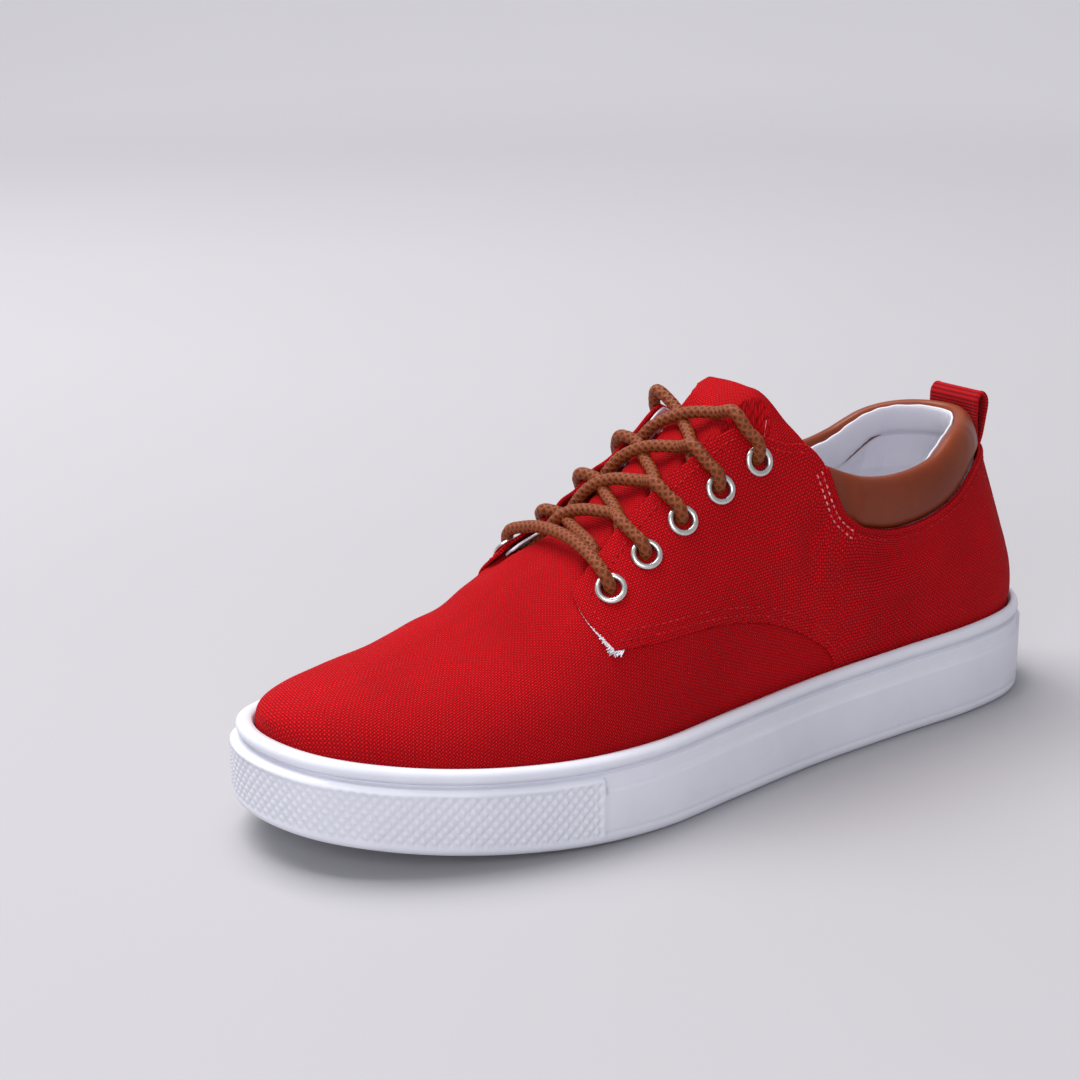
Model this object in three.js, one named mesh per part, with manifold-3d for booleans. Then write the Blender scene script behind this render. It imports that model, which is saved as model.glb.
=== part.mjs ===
// Low-cut canvas sneaker, left shoe, as an assembly of separate solids in millimetres.
// +Z is up, -Y is the toe, +X is the lateral (outer) side. The shoe stands on z = 0, and the
// origin is under the middle of its bounding box.
import * as THREE from 'three';
import { mergeVertices } from 'three/addons/utils/BufferGeometryUtils.js';
import Module from 'manifold-3d';

const wasm = await Module();
wasm.setup();

// ---------------------------------------------------------------- driving dimensions
const LENGTH = 300; // outsole, heel to toe
const CENTRE_SHIFT = 0.15; // moves the outline so that its box is centred on x = 0
const GAP = 0.35; // clearance between pieces that meet

const LEAN_REACH = 100; // distance from the heel over which its forward lean fades out
const TOE_SPRING = 11.9; // rise of the tread at the tip of the toe
const SPRING_START = 173; // distance from the heel where the tread starts to rise
const UPPER_WALL = 2; // canvas, foam and lining together
const INSOLE_THICK = 4;
const TONGUE_THICK = 2;
const COLLAR_THICK = 7;
const COLLAR_PROUD = 1; // how far the padded collar stands outside the canvas

const EYELET_COUNT = 5; // on each side
const EYELET_HOLE = 2.9; // radius of the hole
const EYELET_BARREL = 3.3; // radius outside the barrel
const EYELET_FLANGE = 4.9; // radius outside the flange
const EYELET_CUT = 3.8; // radius of the punched hole in the canvas
const EYELET_TOP = 1.2; // height of the rim over the canvas
const LACE_RADIUS = 1.9;

const LOOP_WIDTH = 22; // webbing of the heel's pull loop
const LOOP_THICK = 1.4;

const STATIONS = 44; // rings from heel to toe
const OUTLINE_INSET_EDGE = 3.5; // rounding of the tread's bottom edge

// Outline of the sole. t: distance from the heel's back, mid: centre line's x, half: half width.
const OUTLINE = [
  { t: 0, mid: 0, half: 0 },
  { t: 6, mid: 0, half: 18.6 },
  { t: 20, mid: 0, half: 30.6 },
  { t: 45, mid: 0.5, half: 36.3 },
  { t: 80, mid: 2.3, half: 36.4 },
  { t: 120, mid: 4.4, half: 37.2 },
  { t: 160, mid: 4.8, half: 42.8 },
  { t: 190, mid: 3.6, half: 48.8 },
  { t: 215, mid: 1, half: 51.5 },
  { t: 240, mid: -2, half: 50.2 },
  { t: 262, mid: -4, half: 44.6 },
  { t: 280, mid: -5.2, half: 35.4 },
  { t: 292, mid: -6, half: 24.6 },
  { t: 300, mid: -6.5, half: 0 },
];

// Sections of the upper. inset: feather edge inside the sole's outline; ridge, ridgeX: height and
// x of the instep's crest; side, top: fullness exponents of the section's flank and crown.
const LAST = [
  { t: 0, inset: 5, ridge: 118, ridgeX: 0, side: 2.6, top: 2.6 },
  { t: 40, inset: 5, ridge: 128, ridgeX: 0, side: 2.6, top: 2.6 },
  { t: 80, inset: 5.5, ridge: 141, ridgeX: 1, side: 2.6, top: 2.5 },
  { t: 110, inset: 5.8, ridge: 144, ridgeX: 3.5, side: 2.4, top: 2.3 },
  { t: 135, inset: 6, ridge: 133.3, ridgeX: 5.5, side: 2.2, top: 2.1 },
  { t: 160, inset: 6.2, ridge: 112.2, ridgeX: 3.8, side: 2.2, top: 2 },
  { t: 190, inset: 6.4, ridge: 86, ridgeX: 1.6, side: 2.3, top: 1.9 },
  { t: 215, inset: 6.5, ridge: 64.5, ridgeX: -1, side: 2.4, top: 1.9 },
  { t: 240, inset: 6.7, ridge: 52.6, ridgeX: -3.5, side: 2.5, top: 2 },
  { t: 262, inset: 7, ridge: 47.6, ridgeX: -5.4, side: 2.6, top: 2.1 },
  { t: 280, inset: 7.3, ridge: 45.6, ridgeX: -6.6, side: 2.6, top: 2.2 },
  { t: 292, inset: 7.5, ridge: 44, ridgeX: -6.6, side: 2.5, top: 2.2 },
  { t: 300, inset: 7.5, ridge: 39, ridgeX: -6.6, side: 2.5, top: 2.2 },
];

// Heights of the cup sole's features above its own tread.
const SOLE_LEVELS = [
  { t: 0, floor: 18, ledge: 21.8, groove: 27.2, feather: 31.2 },
  { t: 150, floor: 14, ledge: 19.2, groove: 24.4, feather: 27.4 },
  { t: 300, floor: 12, ledge: 15.2, groove: 20, feather: 23.2 },
];

// How far the heel's back leans forward. z: height, lean: distance.
const HEEL_LEAN = [
  { z: 30, lean: 0.3 },
  { z: 45, lean: 1.5 },
  { z: 60, lean: 7 },
  { z: 75, lean: 12.6 },
  { z: 90, lean: 17.6 },
  { z: 105, lean: 22 },
  { z: 120, lean: 26 },
];

// Top edge of the canvas seen from the side: under the collar, over the quarter, along the facing.
const COLLAR_SEAM = [
  { t: 0, z: 88 },
  { t: 22, z: 88 },
  { t: 37, z: 86 },
  { t: 54, z: 76.6 },
  { t: 65, z: 72.7 },
  { t: 77, z: 71 },
  { t: 91, z: 72.3 },
  { t: 101, z: 76.3 },
  { t: 108, z: 84 },
  { t: 113, z: 97.6 },
];
const QUARTER_TOP = [
  { t: 113, z: 97.6 },
  { t: 117.5, z: 102.6 },
  { t: 129, z: 106 },
  { t: 143, z: 112.2 },
];
const FACING_EDGE = [
  { t: 143, z: 112.2 },
  { t: 146.5, z: 111.2 },
  { t: 159, z: 104.4 },
  { t: 184, z: 87 },
  { t: 203, z: 70 },
];

// Crest of the padded collar.
const COLLAR_CREST = [
  { t: 0, z: 100.5 },
  { t: 30, z: 100 },
  { t: 45, z: 97 },
  { t: 60, z: 91.3 },
  { t: 77, z: 88.6 },
  { t: 95, z: 90.6 },
  { t: 112, z: 97.4 },
];

// Crest line of the tongue under the laces.
const TONGUE_CREST = [
  { t: 100, z: 130 },
  { t: 115, z: 127.5 },
  { t: 130, z: 122.5 },
  { t: 137, z: 117.5 },
  { t: 145, z: 111.5 },
  { t: 160, z: 101.5 },
  { t: 175, z: 91.5 },
  { t: 190, z: 81.5 },
  { t: 205, z: 70.5 },
  { t: 220, z: 58 },
];

// Eyelet centres on both facings. t: distance from the heel, v: place between feather and crest.
const EYELETS = [
  { t: 194.3, v: 0.6 },
  { t: 181, v: 0.584 },
  { t: 167.2, v: 0.562 },
  { t: 153, v: 0.534 },
  { t: 138.1, v: 0.501 },
];

// Centre line of the pull loop's webbing behind the heel.
const LOOP_PATH = [
  { t: 15.8, z: 83 },
  { t: 17.4, z: 88 },
  { t: 18.8, z: 94 },
  { t: 19.8, z: 100 },
  { t: 20.8, z: 104.3 },
  { t: 22.8, z: 105.6 },
  { t: 24.4, z: 103.5 },
  { t: 23.4, z: 98.8 },
  { t: 21.4, z: 93 },
  { t: 19.4, z: 87.5 },
];

// ---------------------------------------------------------------- interpolation
const clamp = (value, low, high) => Math.min(high, Math.max(low, value));
const angleOf = (t) => Math.acos(clamp(1 - (2 * t) / LENGTH, -1, 1));
const distanceOf = (angle) => (LENGTH * (1 - Math.cos(angle))) / 2;

// Smooth curve through a table's column. The key is first turned into the curve's own abscissa.
function curve(rows, key, column, abscissa = (value) => value) {
  const xs = rows.map((row) => abscissa(row[key]));
  const ys = rows.map((row) => row[column]);
  const last = xs.length - 1;
  const slope = xs.slice(1).map((x, i) => (ys[i + 1] - ys[i]) / (x - xs[i]));
  const tangent = ys.map((_, i) => {
    if (i === 0) return slope[0];
    if (i === last) return slope[last - 1];
    const before = xs[i] - xs[i - 1];
    const after = xs[i + 1] - xs[i];
    return (slope[i - 1] * after + slope[i] * before) / (before + after);
  });
  return (value) => {
    const x = clamp(abscissa(value), xs[0], xs[last]);
    let i = 0;
    while (i < last - 1 && x > xs[i + 1]) i += 1;
    const h = xs[i + 1] - xs[i];
    const u = (x - xs[i]) / h;
    const u2 = u * u;
    const u3 = u2 * u;
    return ys[i] * (2 * u3 - 3 * u2 + 1) + tangent[i] * h * (u3 - 2 * u2 + u)
      + ys[i + 1] * (3 * u2 - 2 * u3) + tangent[i + 1] * h * (u3 - u2);
  };
}

const alongLast = (rows, column) => curve(rows, 't', column, angleOf);
const outlineMid = alongLast(OUTLINE, 'mid');
const outlineHalf = alongLast(OUTLINE, 'half');
const featherInset = alongLast(LAST, 'inset');
const ridgeHeight = alongLast(LAST, 'ridge');
const ridgeX = alongLast(LAST, 'ridgeX');
const sideFullness = alongLast(LAST, 'side');
const topFullness = alongLast(LAST, 'top');
const heelLean = curve(HEEL_LEAN, 'z', 'lean');
const collarSeam = curve(COLLAR_SEAM, 't', 'z');
const quarterTop = curve(QUARTER_TOP, 't', 'z');
const facingEdge = curve(FACING_EDGE, 't', 'z');
const collarCrest = curve(COLLAR_CREST, 't', 'z');
const tongueCrest = curve(TONGUE_CREST, 't', 'z');

const spring = (t) => TOE_SPRING * clamp((t - SPRING_START) / (LENGTH - SPRING_START), 0, 1) ** 2;
function soleLevel(column) {
  const level = curve(SOLE_LEVELS, 't', column);
  return (t) => spring(t) + level(t);
}
const cupFloor = soleLevel('floor');
const ledge = soleLevel('ledge');
const groove = soleLevel('groove');
const feather = soleLevel('feather');

// ---------------------------------------------------------------- the last's surface
// A point of the sole's outline on one side (+1 lateral, -1 medial), moved inwards by inset.
function outline(angle, side, inset) {
  const step = 1e-3;
  const at = (a) => {
    const held = clamp(a, 0, Math.PI);
    const t = distanceOf(held);
    return [outlineMid(t) - CENTRE_SHIFT + side * outlineHalf(t), t];
  };
  const [x, t] = at(angle);
  const [x1, t1] = at(angle + step);
  const [x0, t0] = at(angle - step);
  const size = Math.hypot(x1 - x0, t1 - t0);
  const inwardX = (-side * (t1 - t0)) / size;
  const inwardT = (side * (x1 - x0)) / size;
  if (angle <= 0) return [x, t + inset];
  if (angle >= Math.PI) return [x, t - inset];
  return [x + inset * inwardX, t + inset * inwardT];
}

// How far the upper leans forward at a section and a height: fully at the heel, not at all past
// the instep.
function leanAt(t, z) {
  const near = clamp(1 - t / LEAN_REACH, 0, 1);
  return near * near * (3 - 2 * near) * heelLean(z);
}

// A point of the upper's outer surface. across: 1 at the lateral feather edge, 0 on the crest,
// -1 at the medial feather edge.
function upperPoint(angle, across) {
  const side = across >= 0 ? 1 : -1;
  const t = distanceOf(angle);
  const inset = featherInset(t);
  const [footX, footT] = outline(angle, side, inset);
  const otherT = outline(angle, -side, inset)[1];
  const crestT = (footT + otherT) / 2;
  const crestX = ridgeX(t) - CENTRE_SHIFT;
  const low = feather(footT);
  const high = Math.max(ridgeHeight(t), low + 0.001);
  const turn = ((1 - Math.abs(across)) * Math.PI) / 2;
  const out = Math.max(0, Math.cos(turn)) ** (2 / sideFullness(t));
  const up = Math.max(0, Math.sin(turn)) ** (2 / topFullness(t));
  const z = low + (high - low) * up;
  const x = crestX + (footX - crestX) * out;
  const place = crestT + (footT - crestT) * out + leanAt(t, z);
  return new THREE.Vector3(x, LENGTH / 2 - place, z);
}

// Outward normal of the upper's outer surface.
function upperNormal(angle, across) {
  const step = 0.004;
  const a0 = clamp(angle - step, 0, Math.PI);
  const a1 = clamp(angle + step, 0, Math.PI);
  const atTip = angle <= 0 || angle >= Math.PI;
  const place = atTip ? Math.abs(across) : across;
  const c0 = clamp(place - step, -1, 1);
  const c1 = clamp(place + step, -1, 1);
  const along = upperPoint(a1, place).sub(upperPoint(a0, place));
  const over = upperPoint(angle, c1).sub(upperPoint(angle, c0));
  const normal = new THREE.Vector3().crossVectors(along, over);
  if (atTip) normal.x = 0;
  return normal.normalize();
}

// A point of the surface moved outwards (or inwards, with a negative distance).
const upperOffset = (angle, across, distance) =>
  upperPoint(angle, across).addScaledVector(upperNormal(angle, across), distance);

// The across value at which the surface reaches a height, on one side of a section.
function acrossAtHeight(angle, side, height) {
  let low = 1;
  let high = 0;
  for (let i = 0; i < 30; i += 1) {
    const middle = (low + high) / 2;
    if (upperPoint(angle, side * middle).z < height) low = middle;
    else high = middle;
  }
  return (side * (low + high)) / 2;
}

// ---------------------------------------------------------------- mesh helpers
const vector = (x, t, z) => new THREE.Vector3(x, LENGTH / 2 - t, z);

// A closed mesh from triangles of points. Points that coincide are merged.
function solidFrom(triangles) {
  const positions = [];
  for (const corners of triangles) {
    for (const point of corners) positions.push(point.x, point.y, point.z);
  }
  const loose = new THREE.BufferGeometry();
  loose.setAttribute('position', new THREE.Float32BufferAttribute(positions, 3));
  const merged = mergeVertices(loose, 1e-3);
  const index = merged.index.array;
  const kept = [];
  for (let i = 0; i < index.length; i += 3) {
    const [a, b, c] = [index[i], index[i + 1], index[i + 2]];
    if (a !== b && b !== c && a !== c) kept.push(a, b, c);
  }
  merged.setIndex(kept);
  return merged;
}

function addQuad(triangles, a, b, c, d) {
  triangles.push([a, b, c], [a, c, d]);
}

// The triangles between two grids of points, one on each face of a sheet. Grids whose first and
// last rows fold shut on themselves are left without a border there.
function sheet(front, back, foldedEnds = false) {
  const triangles = [];
  const rows = front.length - 1;
  const columns = front[0].length - 1;
  for (let i = 0; i < rows; i += 1) {
    for (let j = 0; j < columns; j += 1) {
      addQuad(triangles, front[i][j], front[i + 1][j], front[i + 1][j + 1], front[i][j + 1]);
      addQuad(triangles, back[i][j], back[i][j + 1], back[i + 1][j + 1], back[i + 1][j]);
    }
    addQuad(triangles, front[i][0], back[i][0], back[i + 1][0], front[i + 1][0]);
    const [f0, f1] = [front[i][columns], front[i + 1][columns]];
    addQuad(triangles, f0, f1, back[i + 1][columns], back[i][columns]);
  }
  if (!foldedEnds) {
    for (let j = 0; j < columns; j += 1) {
      addQuad(triangles, front[0][j], front[0][j + 1], back[0][j + 1], back[0][j]);
      const [f0, f1] = [front[rows][j], front[rows][j + 1]];
      addQuad(triangles, f0, back[rows][j], back[rows][j + 1], f1);
    }
  }
  return solidFrom(triangles);
}

// The skin over closed loops of points. Ends that don't collapse are closed with a fan.
function skin(loops, capped = true) {
  const triangles = [];
  const count = loops[0].length;
  for (let i = 0; i < loops.length - 1; i += 1) {
    for (let j = 0; j < count; j += 1) {
      const k = (j + 1) % count;
      addQuad(triangles, loops[i][j], loops[i + 1][j], loops[i + 1][k], loops[i][k]);
    }
  }
  if (capped) {
    const ends = [[loops[0], false], [loops[loops.length - 1], true]];
    for (const [loop, flipped] of ends) {
      const centre = new THREE.Vector3();
      for (const point of loop) centre.addScaledVector(point, 1 / count);
      for (let j = 0; j < count; j += 1) {
        const k = (j + 1) % count;
        triangles.push(flipped ? [centre, loop[k], loop[j]] : [centre, loop[j], loop[k]]);
      }
    }
  }
  return solidFrom(triangles);
}

// Turns a mesh inside out if its faces point inwards.
function facingOut(geometry) {
  const position = geometry.attributes.position;
  const index = geometry.index.array;
  const [a, b, c] = [new THREE.Vector3(), new THREE.Vector3(), new THREE.Vector3()];
  let volume = 0;
  for (let i = 0; i < index.length; i += 3) {
    a.fromBufferAttribute(position, index[i]);
    b.fromBufferAttribute(position, index[i + 1]);
    c.fromBufferAttribute(position, index[i + 2]);
    volume += a.dot(b.cross(c));
  }
  if (volume < 0) {
    const flipped = [];
    for (let i = 0; i < index.length; i += 3) flipped.push(index[i], index[i + 2], index[i + 1]);
    geometry.setIndex(flipped);
  }
  return geometry;
}

// A mesh with positions only and shared vertices.
function bareMesh(geometry) {
  const bare = geometry.clone();
  bare.deleteAttribute('normal');
  bare.deleteAttribute('uv');
  return facingOut(mergeVertices(bare, 1e-3));
}

function toManifold(geometry) {
  const merged = bareMesh(geometry);
  return new wasm.Manifold(new wasm.Mesh({
    numProp: 3,
    vertProperties: new Float32Array(merged.attributes.position.array),
    triVerts: new Uint32Array(merged.index.array),
  }));
}

function fromManifold(solid) {
  const mesh = solid.getMesh();
  const geometry = new THREE.BufferGeometry();
  geometry.setAttribute('position', new THREE.Float32BufferAttribute(mesh.vertProperties, 3));
  geometry.setIndex(Array.from(mesh.triVerts));
  return geometry;
}

function cutAway(geometry, cutters) {
  let solid = toManifold(geometry);
  for (const cutter of cutters) solid = solid.subtract(toManifold(cutter));
  return fromManifold(solid);
}

const stations = Array.from({ length: STATIONS + 1 }, (_, i) => Math.PI * (i / STATIONS));

// ---------------------------------------------------------------- cup sole
// The wall's section from the tread's edge, up the outside, over the rim and down to the floor.
function wallSection(angle, side) {
  const at = (inset, height) => {
    const [x, t] = outline(angle, side, inset);
    return vector(x, t, height(t));
  };
  const inner = featherInset(distanceOf(angle)) - GAP;
  const toe = clamp((distanceOf(angle) - 200) / 100, 0, 1);
  return [
    at(OUTLINE_INSET_EDGE, (t) => spring(t)),
    at(1.1, (t) => spring(t) + 1.2),
    at(0.2, (t) => spring(t) + 6),
    at(0.2, (t) => ledge(t) - 0.4),
    at(1.3, (t) => ledge(t) + 0.6),
    at(1.5 + toe, (t) => groove(t) - 0.7),
    at(2.6 + toe, (t) => groove(t) - 0.3),
    at(2.4 + toe, (t) => groove(t) + 0.4),
    at(1.2 + toe, (t) => groove(t) + 1.7),
    at(1.3 + toe, (t) => groove(t) + 3.6),
    at(2.9 + toe, (t) => feather(t) + 1.6),
    at(inner, (t) => feather(t) + 0.3),
    at(inner, (t) => cupFloor(t)),
  ];
}

// Cross grooves of the tread, and the recess under the arch.
const GROOVE_WIDTH = 3;
const GROOVE_DEPTH = 2;
const GROOVE_RIM = 9; // tread left uncut at the sides
const TREAD = [
  { from: 14, to: 84, pitch: 14 }, // heel
  { from: 138, to: 276, pitch: 12.5 }, // forefoot
];
const ARCH = { from: 92, to: 126, depth: 2.5, rim: GROOVE_RIM };

function treadCuts() {
  const cuts = [ARCH];
  for (const { from, to, pitch } of TREAD) {
    for (let t = from; t <= to; t += pitch) {
      cuts.push({ from: t, to: t + GROOVE_WIDTH, depth: GROOVE_DEPTH, rim: GROOVE_RIM });
    }
  }
  return cuts;
}

function treadCutter({ from, to, depth, rim }) {
  const wall = (t, z) => [1, -1].map((side) => {
    const [x] = outline(angleOf(t), side, rim);
    return vector(x, t, z);
  });
  const ring = (t) => {
    const [lateralLow, medialLow] = wall(t, -5);
    const [lateralHigh, medialHigh] = wall(t, spring(t) + depth);
    return [lateralLow, lateralHigh, medialHigh, medialLow];
  };
  return skin([ring(from), ring((from + to) / 2), ring(to)]);
}

function cupSole() {
  const loops = stations.map((angle) => {
    const lateral = wallSection(angle, 1);
    const medial = wallSection(angle, -1).reverse();
    return [...lateral, ...medial];
  });
  return cutAway(skin(loops, false), treadCuts().map(treadCutter));
}

// ---------------------------------------------------------------- upper
const ACROSS = [1, 0.92, 0.82, 0.7, 0.58, 0.46, 0.34, 0.22, 0.11];

// The wall below the feather edge, which stands inside the cup, then the section over the crest.
function upperSection(angle, offset) {
  const hem = (side) => {
    const [x, t] = outline(angle, side, featherInset(distanceOf(angle)) + offset);
    return vector(x, t, cupFloor(t) + GAP);
  };
  const lateral = ACROSS.map((across) => upperOffset(angle, across, -offset));
  const medial = ACROSS.map((across) => upperOffset(angle, -across, -offset)).reverse();
  return [hem(1), ...lateral, upperOffset(angle, 0, -offset), ...medial, hem(-1)];
}

// Everything above the canvas's top edge, as a prism across the shoe.
function openingCutter() {
  const points = [];
  const trace = (edge, from, to, count) => {
    for (let i = 0; i <= count; i += 1) {
      const t = from + ((to - from) * i) / count;
      points.push(new THREE.Vector2(LENGTH / 2 - t, edge(t)));
    }
  };
  trace(collarSeam, 0, 112.9, 20);
  trace(quarterTop, 113, 142.9, 6);
  trace(facingEdge, 143, 203, 10);
  const back = LENGTH / 2 + 20;
  const front = LENGTH / 2 - 203;
  points.push(new THREE.Vector2(front, 200), new THREE.Vector2(back, 200));
  points.push(new THREE.Vector2(back, collarSeam(0)));
  const prism = new THREE.ExtrudeGeometry(new THREE.Shape(points), { depth: 160, bevelEnabled: false });
  prism.applyMatrix4(new THREE.Matrix4().set(0, 0, 1, -80, 1, 0, 0, 0, 0, 1, 0, 0, 0, 0, 0, 1));
  return prism;
}

// A straight prism on an axis, from its centre's place and the direction it points.
function prismAt(centre, direction, radius, low, high, sides) {
  const geometry = new THREE.CylinderGeometry(radius, radius, high - low, sides);
  geometry.translate(0, (high + low) / 2, 0);
  const turn = new THREE.Quaternion().setFromUnitVectors(new THREE.Vector3(0, 1, 0), direction);
  geometry.applyQuaternion(turn);
  geometry.translate(centre.x, centre.y, centre.z);
  return geometry;
}

function eyeletPlaces() {
  const places = [];
  for (const side of [1, -1]) {
    EYELETS.forEach(({ t, v }, row) => {
      const angle = angleOf(t);
      const across = side * (1 - v);
      places.push({
        side,
        row: row + 1,
        centre: upperPoint(angle, across),
        axis: upperNormal(angle, across),
      });
    });
  }
  return places;
}

function upper() {
  const outer = stations.map((angle) => upperSection(angle, 0));
  const inner = stations.map((angle) => upperSection(angle, UPPER_WALL));
  const holes = eyeletPlaces().map(({ centre, axis }) => prismAt(centre, axis, EYELET_CUT, -6, 5, EYELET_SIDES));
  return cutAway(sheet(outer, inner, true), [openingCutter(), ...holes]);
}

// ---------------------------------------------------------------- insole
function insole() {
  const face = (lift) => stations.map((angle) => {
    const inset = featherInset(distanceOf(angle)) + UPPER_WALL + GAP;
    const [lateralX, lateralT] = outline(angle, 1, inset);
    const [medialX, medialT] = outline(angle, -1, inset);
    return [0, 0.5, 1].map((share) => {
      const x = lateralX + (medialX - lateralX) * share;
      const t = lateralT + (medialT - lateralT) * share;
      return vector(x, t, cupFloor(t) + GAP + lift);
    });
  });
  return sheet(face(INSOLE_THICK), face(0), true);
}

// ---------------------------------------------------------------- tongue
const TONGUE_FRONT = 216; // distance from the heel of its end under the vamp
const TONGUE_TOP = 131; // of its top edge, on the centre line
const TONGUE_TOP_SIDE = 115; // of its top edge, at the sides
const TONGUE_CLEAR = 0.6; // under the facings
const TONGUE_ROWS = 13;
const TONGUE_COLUMNS = 10;
const TONGUE_EDGE_FRONT = 0.5; // its half width as an across value, at the front end
const TONGUE_EDGE_TOP = 0.6;
const SHOULDER = 3; // softness of the fold between its crown and its flanks, in mm

const TONGUE_BOW = 14; // how fast its crown falls away sideways

// A point of the tongue's outer face, or of a face at a depth under it.
function tonguePoint(angle, across, depth) {
  const point = upperOffset(angle, across, -UPPER_WALL - TONGUE_CLEAR - depth);
  const cap = tongueCrest(LENGTH / 2 - point.y) - depth - TONGUE_BOW * across * across;
  const blend = clamp(0.5 + (cap - point.z) / (2 * SHOULDER), 0, 1);
  point.z = cap + (point.z - cap) * blend - SHOULDER * blend * (1 - blend);
  return point;
}

function tongueGrid(depth) {
  const grid = [];
  for (let i = 0; i <= TONGUE_ROWS; i += 1) {
    const row = [];
    const share = i / TONGUE_ROWS;
    for (let j = 0; j <= TONGUE_COLUMNS; j += 1) {
      const w = 1 - (2 * j) / TONGUE_COLUMNS;
      const top = TONGUE_TOP - (TONGUE_TOP - TONGUE_TOP_SIDE) * Math.abs(w) ** 3;
      const t = TONGUE_FRONT + (top - TONGUE_FRONT) * share;
      const reach = TONGUE_EDGE_FRONT + (TONGUE_EDGE_TOP - TONGUE_EDGE_FRONT) * share;
      row.push(tonguePoint(angleOf(t), w * reach, depth));
    }
    grid.push(row);
  }
  return grid;
}

const tongue = () => sheet(tongueGrid(0), tongueGrid(TONGUE_THICK));

// ---------------------------------------------------------------- padded collar
const COLLAR_END = 108; // distance from the heel of its front ends
const COLLAR_STATIONS = 32;
const COLLAR_POINTS = 10;

function collarRing(share) {
  const side = share >= 0 ? 1 : -1;
  const seam = angleOf(COLLAR_END) * Math.abs(share);
  const t = distanceOf(seam);
  const place = t + leanAt(t, 90);
  const low = Math.max(collarSeam(place - 1), collarSeam(place + 1)) + GAP;
  const high = collarCrest(place);
  const middle = (low + high) / 2;
  const reach = (high - low) / 2;
  const ring = [];
  for (let k = 0; k < COLLAR_POINTS; k += 1) {
    const turn = (2 * Math.PI * k) / COLLAR_POINTS;
    const rise = Math.sign(Math.sin(turn)) * Math.abs(Math.sin(turn)) ** 0.8;
    const out = Math.sign(Math.cos(turn)) * Math.abs(Math.cos(turn)) ** 0.8;
    const across = acrossAtHeight(seam, side, middle + reach * rise);
    const depth = COLLAR_PROUD - (COLLAR_THICK / 2) * (1 - out);
    ring.push(upperOffset(seam, across, depth).setZ(middle + reach * rise));
  }
  return ring;
}

function collar() {
  const rings = [];
  for (let i = 0; i <= COLLAR_STATIONS; i += 1) {
    rings.push(collarRing(1 - (2 * i) / COLLAR_STATIONS));
  }
  return skin(rings);
}

// ---------------------------------------------------------------- pull loop
function pullLoop() {
  const points = LOOP_PATH.map(({ t, z }) => vector(0, t, z));
  const path = new THREE.CatmullRomCurve3(points);
  const count = 22;
  const half = LOOP_THICK / 2;
  const across = new THREE.Vector3(1, 0, 0);
  const face = (offset) => Array.from({ length: count + 1 }, (_, i) => {
    const centre = path.getPointAt(i / count);
    const normal = new THREE.Vector3().crossVectors(across, path.getTangentAt(i / count));
    centre.addScaledVector(normal, offset);
    return [-LOOP_WIDTH / 2, 0, LOOP_WIDTH / 2].map((x) => centre.clone().setX(x));
  });
  return sheet(face(half), face(-half));
}

// ---------------------------------------------------------------- eyelets and lace
const EYELET_SIDES = 10;

function eyeletGeometry() {
  const profile = [
    [EYELET_HOLE, -UPPER_WALL],
    [EYELET_BARREL, -UPPER_WALL],
    [EYELET_BARREL, GAP],
    [EYELET_FLANGE, GAP],
    [EYELET_FLANGE - 0.3, EYELET_TOP - 0.1],
    [EYELET_HOLE, EYELET_TOP],
    [EYELET_HOLE, -UPPER_WALL],
  ];
  const points = profile.map(([radius, height]) => new THREE.Vector2(radius, height));
  return bareMesh(new THREE.LatheGeometry(points, EYELET_SIDES));
}

// A round cord along points, closed at both ends.
function cord(points, steps, sides) {
  const path = new THREE.CatmullRomCurve3(points);
  const frames = path.computeFrenetFrames(steps, false);
  const rings = [];
  for (let i = 0; i <= steps; i += 1) {
    const centre = path.getPointAt(i / steps);
    const ring = [];
    for (let k = 0; k < sides; k += 1) {
      const turn = (2 * Math.PI * k) / sides;
      const point = centre.clone();
      point.addScaledVector(frames.normals[i], LACE_RADIUS * Math.cos(turn));
      point.addScaledVector(frames.binormals[i], LACE_RADIUS * Math.sin(turn));
      ring.push(point);
    }
    rings.push(ring);
  }
  return facingOut(skin(rings));
}

const LACE_CLEAR = LACE_RADIUS + 0.9; // height of a strand's centre over the canvas
const LACE_SIDES = 6;
const LACE_OVER_EYELET = EYELET_TOP + LACE_RADIUS + 0.4; // height of its centre over an eyelet

// The centre of a strand above the surface, at a distance from the heel and a place across.
const strandPoint = (t, across, lift) => upperOffset(angleOf(t), across, lift);

// A strand comes out under one facing's edge and lies over the other facing, down to its eyelet.
function strand(from, to, side, lift) {
  const start = EYELETS[from];
  const end = EYELETS[to];
  const reach = side * (1 - end.v);
  const along = (share) => start.t + (end.t - start.t) * share;
  const overTongue = (share, across, extra = 0) => {
    const point = tonguePoint(angleOf(along(share)), across, 0);
    point.z += LACE_RADIUS * 1.6 + lift + extra;
    return point;
  };
  return [
    overTongue(0.3, reach * -0.3),
    overTongue(0.4, reach * -0.15),
    overTongue(0.5, 0),
    overTongue(0.62, reach * 0.2),
    overTongue(0.72, reach * 0.36, 1),
    strandPoint(along(0.84), reach * 0.66, LACE_CLEAR + 0.8),
    strandPoint(along(0.95), reach * 0.88, LACE_OVER_EYELET),
    strandPoint(end.t, reach, LACE_OVER_EYELET),
  ];
}

function laceCross(row) {
  const over = cord(strand(row - 1, row, 1, LACE_RADIUS * 1.2), 9, LACE_SIDES);
  const under = cord(strand(row - 1, row, -1, 0), 9, LACE_SIDES);
  return fromManifold(toManifold(over).add(toManifold(under)));
}

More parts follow.
